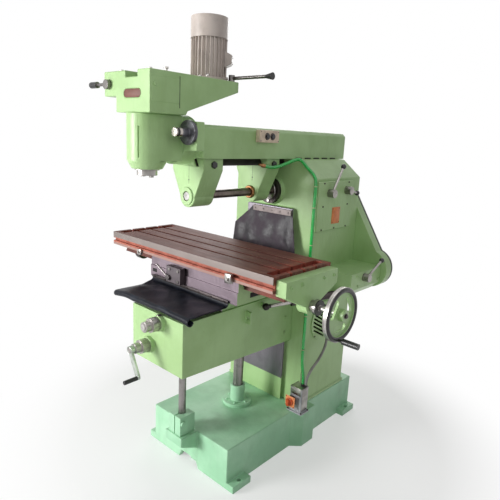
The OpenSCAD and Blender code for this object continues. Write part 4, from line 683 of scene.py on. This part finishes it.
class Trim:
    """Collects small turned, flat and bolted shapes, then makes one piece of them."""

    def __init__(self, name, body, slot, material):
        self.name, self.body, self.slot, self.material = name, body, slot, material
        self.mesh = bmesh.new()

    def turn(self, profile, at, axis=Z, sides=28):
        """A lathe shape: profile is (radius, height) pairs in millimetres, up the axis from a point."""
        place = stand(at, axis)
        angles = [2 * math.pi * k / sides for k in range(sides)]
        rings = []
        for r, h in profile:
            points = [(r * math.cos(a), r * math.sin(a)) for a in angles] if r else [(0, 0)]
            rings.append([self.mesh.verts.new(place @ mm(x, y, h)) for x, y in points])
        for low, high in zip(rings, rings[1:]):
            for k in range(sides):
                quad = [low[k % len(low)], low[(k + 1) % len(low)],
                        high[(k + 1) % len(high)], high[k % len(high)]]
                corners = list(dict.fromkeys(quad))
                if len(corners) > 2:
                    self.mesh.faces.new(corners)
        return self

    def slab(self, low, high, round_mm=1.0, segments=2):
        """A box between two corners in millimetres, with rounded edges."""
        part = bmesh.new()
        bmesh.ops.create_cube(part, size=1)
        low, high = mm(*low), mm(*high)
        bmesh.ops.scale(part, vec=high - low, verts=part.verts)
        bmesh.ops.translate(part, vec=(high + low) / 2, verts=part.verts)
        if round_mm:
            self.soften(part, part.edges[:], round_mm, segments)
        return self.take(part)

    def plate(self, outline, front, back, round_mm=0.8):
        """An outline in X and Z, in millimetres, thickened along Y, with its front edge broken."""
        part = bmesh.new()
        near = [part.verts.new(mm(x, front, z)) for x, z in outline]
        far = [part.verts.new(mm(x, back, z)) for x, z in outline]
        face = part.faces.new(near)
        part.faces.new(far[::-1])
        count = len(outline)
        for k in range(count):
            part.faces.new((near[k], far[k], far[(k + 1) % count], near[(k + 1) % count]))
        self.soften(part, face.edges[:], round_mm, 2)
        return self.take(part)

    def soften(self, part, edges, round_mm, segments):
        bmesh.ops.bevel(part, geom=edges, offset=round_mm / 1000, segments=segments, affect="EDGES",
                        profile=0.5)

    def take(self, part):
        data = bpy.data.meshes.new("part")
        part.to_mesh(data)
        part.free()
        self.mesh.from_mesh(data)
        bpy.data.meshes.remove(data)
        return self

    def hexagon(self, r, h, at, axis):
        """A hexagon head with a chamfered top, on a washer."""
        washer_r, washer_h = r * 1.35, h * 0.22
        self.turn([(0, 0), (washer_r, 0), (washer_r, washer_h), (0, washer_h)], at, axis, 24)
        foot, shoulder = h * 0.2, h * 0.88
        return self.turn([(0, foot), (r, foot), (r, shoulder), (r * 0.88, h), (0, h)], at, axis, 6)

    def socket(self, r, h, at, axis):
        """A cap screw with its socket."""
        bore, floor = r * 0.5, h * 0.4
        return self.turn([(0, 0), (r, 0), (r, h * 0.85), (r * 0.86, h), (bore, h), (bore, floor),
                          (0, floor)], at, axis, 18)

    def make(self):
        """Closes the piece, and puts it on its body."""
        bmesh.ops.recalc_face_normals(self.mesh, faces=self.mesh.faces[:])
        data = bpy.data.meshes.new(self.name)
        self.mesh.to_mesh(data)
        self.mesh.free()
        data.polygons.foreach_set("use_smooth", [True] * len(data.polygons))
        data.set_sharp_from_angle(angle=SMOOTH_ANGLE)
        data.materials.append(self.material)
        piece = bpy.data.objects.new(self.name, data)
        scene.collection.objects.link(piece)
        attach(piece, self.body)


def ring(inner, outer, height, lip=1.5):
    """The closed profile of a flat ring with a chamfered outer edge."""
    return [(inner, 0), (outer, 0), (outer, height - lip), (outer - lip, height), (inner, height),
            (inner, 0)]


def stud(r, h, drop, inset):
    """The profile of a solid round or six-sided stud, chamfered down and in from its top edge."""
    return [(0, 0), (r, 0), (r, h - drop), (r - inset, h), (0, h)]


def bolt_circle(count, radius, start):
    """Points round a circle, the first at an angle in degrees."""
    angles = [math.radians(start + 360 * k / count) for k in range(count)]
    return [(radius * math.cos(a), radius * math.sin(a)) for a in angles]


# Fittings on the frame

PLATE_SCREW = [(0, 0), (2.6, 0), (2.6, 1), (1.6, 1.8), (0, 2)]
RIVET = [(0, 0), (2.4, 0), (1.8, 1.2), (0, 1.6)]
GEAR_COVER_SCREWS = ((80, 1128), (190, 1128), (298, 1128), (80, 1241), (298, 1241), (80, 1352), (298, 1352))
GUARD_SCREWS = ((142, 1316), (108, 1270), (250, 1120), (300, 1040), (430, 880), (358, 818), (300, 850))
GUARD_BACK_Y, FEED_BOX_X = 500, 424
REAR_CAP_Y, REAR_CAP_T = 430, 13
SWITCH_PLATE_Y, ISOLATOR_FLANGE_Z = -60, 206
CLIP_PROFILE = [(8.1, -2.5), (9.2, -2.5), (9.2, 2.5), (8.1, 2.5), (8.1, -2.5)]
CLIP_FACE_X, ARM_UNDER_Z = 253.6, 1456.9
NOZZLE = [(0, -2), (9.4, -2), (9.4, 14), (6.5, 17), (4.4, 36), (3, 36), (3, 30), (0, 30)]
NOZZLE_AIM = Vector((0, -0.99, 0.14))


def frame_fittings():
    """Screws, spindle cap, label plate, isolator lid, glands, hose clips and nozzle, and gib pads."""
    screws = Trim("frame_screws", "frame", "dark_iron", iron)
    for y, z in GEAR_COVER_SCREWS:
        screws.socket(4, 3, mm(GEAR_COVER_X, y, z), X)
    for y, z in bolt_circle(4, 102, 45):
        screws.socket(4, 3, mm(VENT_X, VENT_Y + y, VENT_Z + z), X)
    for x in (232, 280):
        for z in (236, 284):
            screws.turn(PLATE_SCREW, mm(x, SWITCH_PLATE_Y, z), -Y, 14)
    for x, y in ((232, -42), (314, -42), (314, 16)):
        screws.socket(4.2, 3.5, mm(x, y, ISOLATOR_FLANGE_Z), Z)
    for x, z in bolt_circle(6, 50, 30):
        screws.socket(5, 4, mm(x, REAR_CAP_Y + REAR_CAP_T, SPINDLE_Z + z), Y)
    for y in (170, 226):
        for z in (1157, 1225):
            screws.turn(RIVET, mm(LABEL_X, y, z), X, 12)
    screws.make()

    strip = Trim("way_strip_screws", "frame", "steel", strip_grey)
    for x in (-84, -30, 24, 78, 130):
        strip.socket(4, 3, mm(x, -10.6, 1200), -Y)
    strip.make()

    cap = Trim("rear_spindle_cap", "frame", "green_paint", green)
    cap.turn(ring(30, 66, REAR_CAP_T, 3), mm(0, REAR_CAP_Y, SPINDLE_Z), Y, 48)
    for y, z in ((205, 858), (410, 858), (190, 912)):
        cap.socket(6, 5, mm(FEED_BOX_X, y, z), X)
    for x, z in GUARD_SCREWS:
        cap.socket(5, 4, mm(x, GUARD_BACK_Y, z), Y)
    cap.make()

    label = Trim("orange_plates", "frame", "orange_plastic", orange)
    label.slab((GEAR_COVER_X, 163, 1150), (LABEL_X, 233, 1232), 0.6).make()

    lid = Trim("isolator_lid", "frame", "grey_paint", steel)
    lid.slab((306.6, -31, 212), (309.6, 17, 329), 1)
    lid.slab((242, -37.6, 296), (304, -34.6, 330), 1)
    lid.slab((236.6, -37.6, 331), (309.4, 22, ISOLATOR_TOP_Z), 1.2).make()

    glands = Trim("lead_glands", "frame", "black_plastic", black)
    for x, r in ((281, 8.9), (299, 8.2)):
        glands.turn(stud(r, 10, 1, 0.9), mm(x, 8, ISOLATOR_TOP_Z), Z, 18)
    glands.turn(stud(13, 9, 5, 4), mm(VENT_X, 190, 592), X).make()

    clips = Trim("hose_clips", "frame", "green_paint", green)
    for z in (520, 700, 880, 1060, 1240, 1340):
        clips.turn(CLIP_PROFILE, mm(HOSE_X, HOSE_Y, z), Z, 24)
        clips.slab((252, 22, z - 6), (CLIP_FACE_X, 46, z + 6), 0.5)
        clips.socket(3.4, 2.6, mm(CLIP_FACE_X, 38, z), X)
    clips.make()

    nozzle = Trim("hose_nozzle", "frame", "bronze", bronze)
    nozzle.turn(NOZZLE, mm(120, -196, 1427.4), NOZZLE_AIM).make()

    pads = Trim("arm_gib_pads", "frame", "black_plastic", black_fill_and_gap_shade)
    for y in (46, 120, 194, 268, 342):
        pads.slab((109.5, y, ARM_UNDER_Z), (114, y + 46, 1463), 0.8)
    pads.make()


frame_fittings()


# Fittings on the knee, saddle and table

MARK_WIDTH, LONG_MARK, SHORT_MARK = 0.5, 0.75, 0.45
CROSS_SCREW_X, CROSS_SCREW_Z = 28, 782
DIAL_FRONT_Y, DIAL_R, DIAL_T, DIAL_COUNT = -717, 29.95, 20, 50
CROSS_CAP = [(0, -0.2), (12.6, -0.2), (12.6, 3), (10.5, 5), (6, 5), (6, 3.4), (0, 3.4)]
KNEE_SIDE_X, KNEE_GIB_Y = 172, -34
APRON_STRIP_Y, SADDLE_SIDE_X, TRIP_FRONT_Y = -489.4, 258, -510
LEFT_BRACKET_X, RIGHT_BRACKET_X = -641, 522


def dial_marks(name, body, at, axis, radius, width, count):
    """Engraved lines round a dial, every fifth one longer."""
    marks = Trim(name, body, "dark_iron", black_fill_and_gap_shade)
    place = stand(at, axis)
    for k in range(count):
        long = width * (SHORT_MARK if k % 5 else LONG_MARK)
        part = bmesh.new()
        bmesh.ops.create_cube(part, size=1)
        bmesh.ops.scale(part, vec=mm(MARK_WIDTH, MARK_WIDTH, long), verts=part.verts)
        bmesh.ops.translate(part, vec=mm(radius, 0, long / 2), verts=part.verts)
        turn = Matrix.Rotation(2 * math.pi * k / count, 4, "Z")
        bmesh.ops.transform(part, matrix=place @ turn, verts=part.verts)
        marks.take(part)
    marks.make()


def feed_fittings():
    """Dial marks, caps, bolts and screws, apron strip, table dogs, and the handwheel's bright band."""
    for name, body, x, z in (("crank_dial_marks", "knee_crank", -43, 664),
                             ("cross_dial_marks", "cross_screw", CROSS_SCREW_X, CROSS_SCREW_Z)):
        dial_marks(name, body, mm(x, DIAL_FRONT_Y, z), -Y, DIAL_R, DIAL_T, DIAL_COUNT)
    end_cap = Trim("cross_screw_cap", "cross_screw", "steel", chrome)
    end_cap.turn(CROSS_CAP, mm(CROSS_SCREW_X, -780.3, CROSS_SCREW_Z), -Y).make()

    gib = Trim("knee_gib_bolts", "knee", "green_paint", green)
    for z in (600, 680, 760):
        gib.hexagon(8, 8, mm(KNEE_SIDE_X, KNEE_GIB_Y, z), X)
        gib.hexagon(8, 8, mm(-KNEE_SIDE_X, KNEE_GIB_Y, z), -X)
    gib.make()

    strip = Trim("apron_strip", "saddle", "dark_iron", iron)
    strip.slab((APRON_X[0], APRON_STRIP_Y, 865), (APRON_X[1], -486.2, 879), 0.8)
    for k in range(7):
        strip.socket(4, 3, mm(-290 + 80 * k, APRON_STRIP_Y, 872), -Y)
    for y in (-440, -240):
        strip.hexagon(7, 9, mm(SADDLE_SIDE_X, y, 950), X)
    strip.make()

    # Painted shade: thin dark sheets stand for the shade inside two slots in the saddle, on its front and
    # its right side.
    slot_shade = Trim("saddle_slot_shade", "saddle", "black_plastic", black_fill_and_gap_shade)
    slot_shade.slab((-318, -480.6, 890), (-286, -478, 907), 0.3)
    slot_shade.slab((256, -402, 886), (258.6, -354, 908), 0.3).make()

    trip = Trim("trip_screws", "saddle", "steel", steel)
    for x, z in ((-90, 942), (-90, 893), (-150, 942)):
        trip.socket(6, 5, mm(x, TRIP_FRONT_Y, z), -Y)
    trip.make()

    dogs = Trim("table_dogs", "table", "steel", steel)
    dogs.slab((234, -536, 974), (268, -517, 1013), 1.5).hexagon(7.5, 8, mm(251, -536, 992), -Y)
    dogs.slab((-380, -530, 970), (-350, -517, 997), 1.5).hexagon(6, 7, mm(-365, -530, 983), -Y)
    for y in (-400, -250):
        dogs.socket(6, 5, mm(LEFT_BRACKET_X, y, 985), -X)
    dogs.make()

    bracket = Trim("bracket_screws", "table", "green_paint", green)
    for y in (-470, -180, -400, -250):
        bracket.socket(7, 5, mm(RIGHT_BRACKET_X, y, 1008), X)
    bracket.make()

    band = Trim("wheel_rim_band", "table_wheel", "steel", steel)
    band.turn(ring(100, 108.4, 19, 3), mm(662, LEAD_SCREW_Y, LEAD_SCREW_Z), -X, 96).make()
    hub = Trim("wheel_hub_nut", "table_wheel", "dark_iron", iron)
    hub.hexagon(8, 7, mm(678, LEAD_SCREW_Y, LEAD_SCREW_Z), X).make()
    dial_marks("table_dial_marks", "table_wheel", mm(540, LEAD_SCREW_Y, LEAD_SCREW_Z), X, 31.95, 16, 30)


feed_fittings()


# Fittings on the overarm, supports and head

BOX_SCREW = [(0, 0), (2.6, 0), (2, 1), (0, 1.3)]
OIL_PLUG = [(0, 0), (3.2, 0), (2.6, 0.8), (0, 1)]
BREATHER = [(0, 0), (8, 0), (8, 6), (5.5, 7), (5.5, 12), (9, 13), (9, 19), (0, 21)]
BUTTON_BOX_X, BUTTON_Z = 135, 1556
SUPPORT_SIDE_X, SUPPORT_BOLT_Z = 98, 1431.9
SUPPORTS = (("front_support", FRONT_SUPPORT_Y, -485), ("rear_support", REAR_SUPPORT_Y, -105))
NOSE_Y, NOSE_T = -14.3, 5
NOSE = [(20.2, 0), (46, 0), (46, 3.6), (44.6, NOSE_T), (33, NOSE_T), (31, 3), (20.2, 3), (20.2, 0)]
ARBOR_TIP = [(0, 0), (18.4, 0), (18.4, 1.2), (16.8, 2.6), (4, 2.6), (2.5, 0.6), (0, 0.6)]
CASE_PANEL_X, MOTOR_FLANGE_Z, SWIVEL_FRONT_Y = 107.6, 1777, -633
PANE_X, PANE_Z, PANE_R, PANE_STEPS = (-39.5, 36.5), 1684.5, 15, 12
TERMINAL_TURN, TERMINAL_OUT = math.radians(42), 95


def arm_fittings():
    """Button bezels, the supports' bolts, marks and bushes, spindle nose and arbor tip."""
    bezels = Trim("button_bezels", "overarm", "steel", iron)
    for y in (-202, -166):
        bezels.turn(ring(11.5, 15.5, 3), mm(BUTTON_BOX_X, y, BUTTON_Z), X)
    for y in (-243, -125):
        for z in (BUTTON_Z - 20, BUTTON_Z + 20):
            bezels.turn(BOX_SCREW, mm(BUTTON_BOX_X, y, z), X, 12)
    bezels.make()

    for body, front, middle in SUPPORTS:
        nut = Trim(body + "_nut", body, "black_plastic", black)
        nut.turn(stud(15, 11, 2, 2), mm(SUPPORT_SIDE_X, middle, SUPPORT_BOLT_Z), X, 6)
        nut.slab((9.2, front - 0.4, 1350), (10.4, front + 1, 1440), 0)
        nut.turn(OIL_PLUG, mm(10, front, 1366), -Y, 14).make()
    front_ring = Trim("front_support_ring", "front_support", "green_paint", green)
    front_ring.turn(ring(21, 38, 6, 2), mm(0, FRONT_SUPPORT_Y, SPINDLE_Z), -Y, 40).make()
    rear_bush = Trim("rear_support_bush", "rear_support", "bronze", bronze)
    rear_bush.turn(ring(20.6, 30, 12, 3), mm(0, REAR_SUPPORT_Y, SPINDLE_Z), -Y, 40).make()

    nose = Trim("spindle_nose_collar", "spindle", "steel", turned_y)
    nose.turn(NOSE, mm(0, NOSE_Y, SPINDLE_Z), -Y, 40)
    for z in (1342, 1236):
        nose.slab((-8, NOSE_Y - NOSE_T, z), (8, NOSE_Y, z + 16), 1)
    nose.make()
    tip = Trim("arbor_tip", "spindle", "steel", chrome)
    tip.turn(ARBOR_TIP, mm(0, FRONT_SUPPORT_Y - 1, SPINDLE_Z), -Y, 36).make()


def head_fittings():
    """The gear case's panel, window, painted seam shade, bolts and breather, and the swivel's nuts."""
    panel = Trim("case_panel", "head", "green_paint", green)
    panel.slab((104, -800, 1656), (CASE_PANEL_X, -674, 1742), 2, 3)
    panel.turn(stud(9, 5, 2, 2), mm(CASE_PANEL_X, -784, 1716), X, 6).make()

    pane = Trim("oil_window", "head", "orange_plastic", pane_red)
    half_turn = [math.radians(90 - 180 * k / PANE_STEPS) for k in range(PANE_STEPS + 1)]
    outline = [(PANE_X[1] + PANE_R * math.cos(a), PANE_Z + PANE_R * math.sin(a)) for a in half_turn]
    outline += [(PANE_X[0] - PANE_R * math.cos(a), PANE_Z - PANE_R * math.sin(a)) for a in half_turn]
    pane.plate(outline, -805.2, -802).make()

    # Painted shade: a thin dark strip stands for the shadow line at the rear edge of the case's raised
    # panel.
    dark_band = Trim("case_seam_shade", "head", "black_plastic", black_fill_and_gap_shade)
    dark_band.slab((105, -674, 1640), (106.7, -671.5, 1752), 0).make()

    bolts = Trim("head_bolts", "head", "steel", steel)
    for x, y in bolt_circle(4, 76, 45):
        bolts.hexagon(6, 8, mm(x, HEAD_MOTOR_Y + y, MOTOR_FLANGE_Z), Z)
    out = Vector((math.cos(TERMINAL_TURN), math.sin(TERMINAL_TURN), 0))
    across = Vector((-math.sin(TERMINAL_TURN), math.cos(TERMINAL_TURN), 0))
    for side in (-24, 24):
        for z in (1838, 1862):
            bolts.socket(3, 2.5, mm(0, HEAD_MOTOR_Y, z) + (out * TERMINAL_OUT + across * side) / 1000, out)
    for x, y in ((-88, -790), (88, -790), (88, -560), (-88, -560)):
        bolts.socket(7, 5, mm(x, y, CASE_TOP_Z), Z)
    bolts.turn(BREATHER, mm(60, -700, CASE_TOP_Z)).make()

    swivel = Trim("swivel_nuts", "head", "dark_iron", iron)
    for z in (1500, 1552):
        swivel.hexagon(8, 9, mm(-84, SWIVEL_FRONT_Y, z), -Y)
    swivel.make()


arm_fittings()
head_fittings()


# Floor and light

FLOOR_HALF = 9
FLOOR_GLOW, FLOOR_FADE = 0.45, (0.5, 1.5)
SOFT_LIGHT = 0.21
WHITE = (1, 1, 1, 1)


def shown(tree):
    """1 for rays that show the background, mirrored ones too; 0 for rays that light the object."""
    rays = tree.nodes.new("ShaderNodeLightPath")
    seen = rays.outputs["Is Camera Ray"]
    for kind in ("Is Glossy Ray", "Is Transmission Ray"):
        either = tree.nodes.new("ShaderNodeMath")
        either.operation = "MAXIMUM"
        tree.links.new(seen, either.inputs[0])
        tree.links.new(rays.outputs[kind], either.inputs[1])
        seen = either.outputs[0]
    return seen


def make_floor():
    """A pale floor that keeps the object's shadow near it and is white further off."""
    h = FLOOR_HALF
    data = bpy.data.meshes.new("floor")
    data.from_pydata([(-h, -h, 0), (h, -h, 0), (h, h, 0), (-h, h, 0)], [], [(0, 1, 2, 3)])
    floor = bpy.data.objects.new("floor", data)
    scene.collection.objects.link(floor)
    s = Surface("floor_white", rough=0.9)
    s.colour = srgb(250, 250, 250)
    data.materials.append(s.done())
    far = s.node("ShaderNodeVectorMath", {0: s.place}, operation="LENGTH").outputs["Value"]
    fade = s.times(shown(s.material.node_tree), s.math("MAXIMUM", s.step(far, *FLOOR_FADE), FLOOR_GLOW))
    glow = s.node("ShaderNodeEmission", {"Color": WHITE, "Strength": 1.0}).outputs[0]
    blend = s.node("ShaderNodeMixShader", {0: fade, 1: s.shader.outputs[0], 2: glow}).outputs[0]
    s.links.new(blend, s.nodes["Material Output"].inputs["Surface"])


def make_world():
    """Soft light from all round, behind a background that shows as white."""
    world = bpy.data.worlds.new("studio")
    world.use_nodes = True
    scene.world = world
    tree = world.node_tree
    soft, white = tree.nodes["Background"], tree.nodes.new("ShaderNodeBackground")
    for light, strength in ((soft, SOFT_LIGHT), (white, 1.0)):
        light.inputs["Color"].default_value = WHITE
        light.inputs["Strength"].default_value = strength
    mixed = tree.nodes.new("ShaderNodeMixShader")
    for k, value in enumerate((shown(tree), soft.outputs[0], white.outputs[0])):
        tree.links.new(value, mixed.inputs[k])
    tree.links.new(mixed.outputs[0], tree.nodes["World Output"].inputs["Surface"])


def lamp(name, at, target, size, power):
    """A square lamp that faces a target, in metres and watts."""
    data = bpy.data.lights.new(name, "AREA")
    data.size = size
    data.energy = power
    lit = bpy.data.objects.new(name, data)
    lit.location = at
    lit.rotation_euler = (Vector(target) - Vector(at)).to_track_quat("-Z", "Y").to_euler()
    scene.collection.objects.link(lit)


make_floor()
make_world()
lamp("key", (-2.0, -4.3, 1.6), (0, -0.3, 0.9), 1.6, 206)
lamp("fill", (2.2, -1.3, 2.8), (0, -0.2, 1.3), 2.0, 13)
lamp("top", (-0.4, -0.8, 4.4), (0, -0.2, 0.8), 3.0, 18)
lamp("back", (-2.5, 3.5, 2.8), (0, 0, 1.0), 3.0, 70)
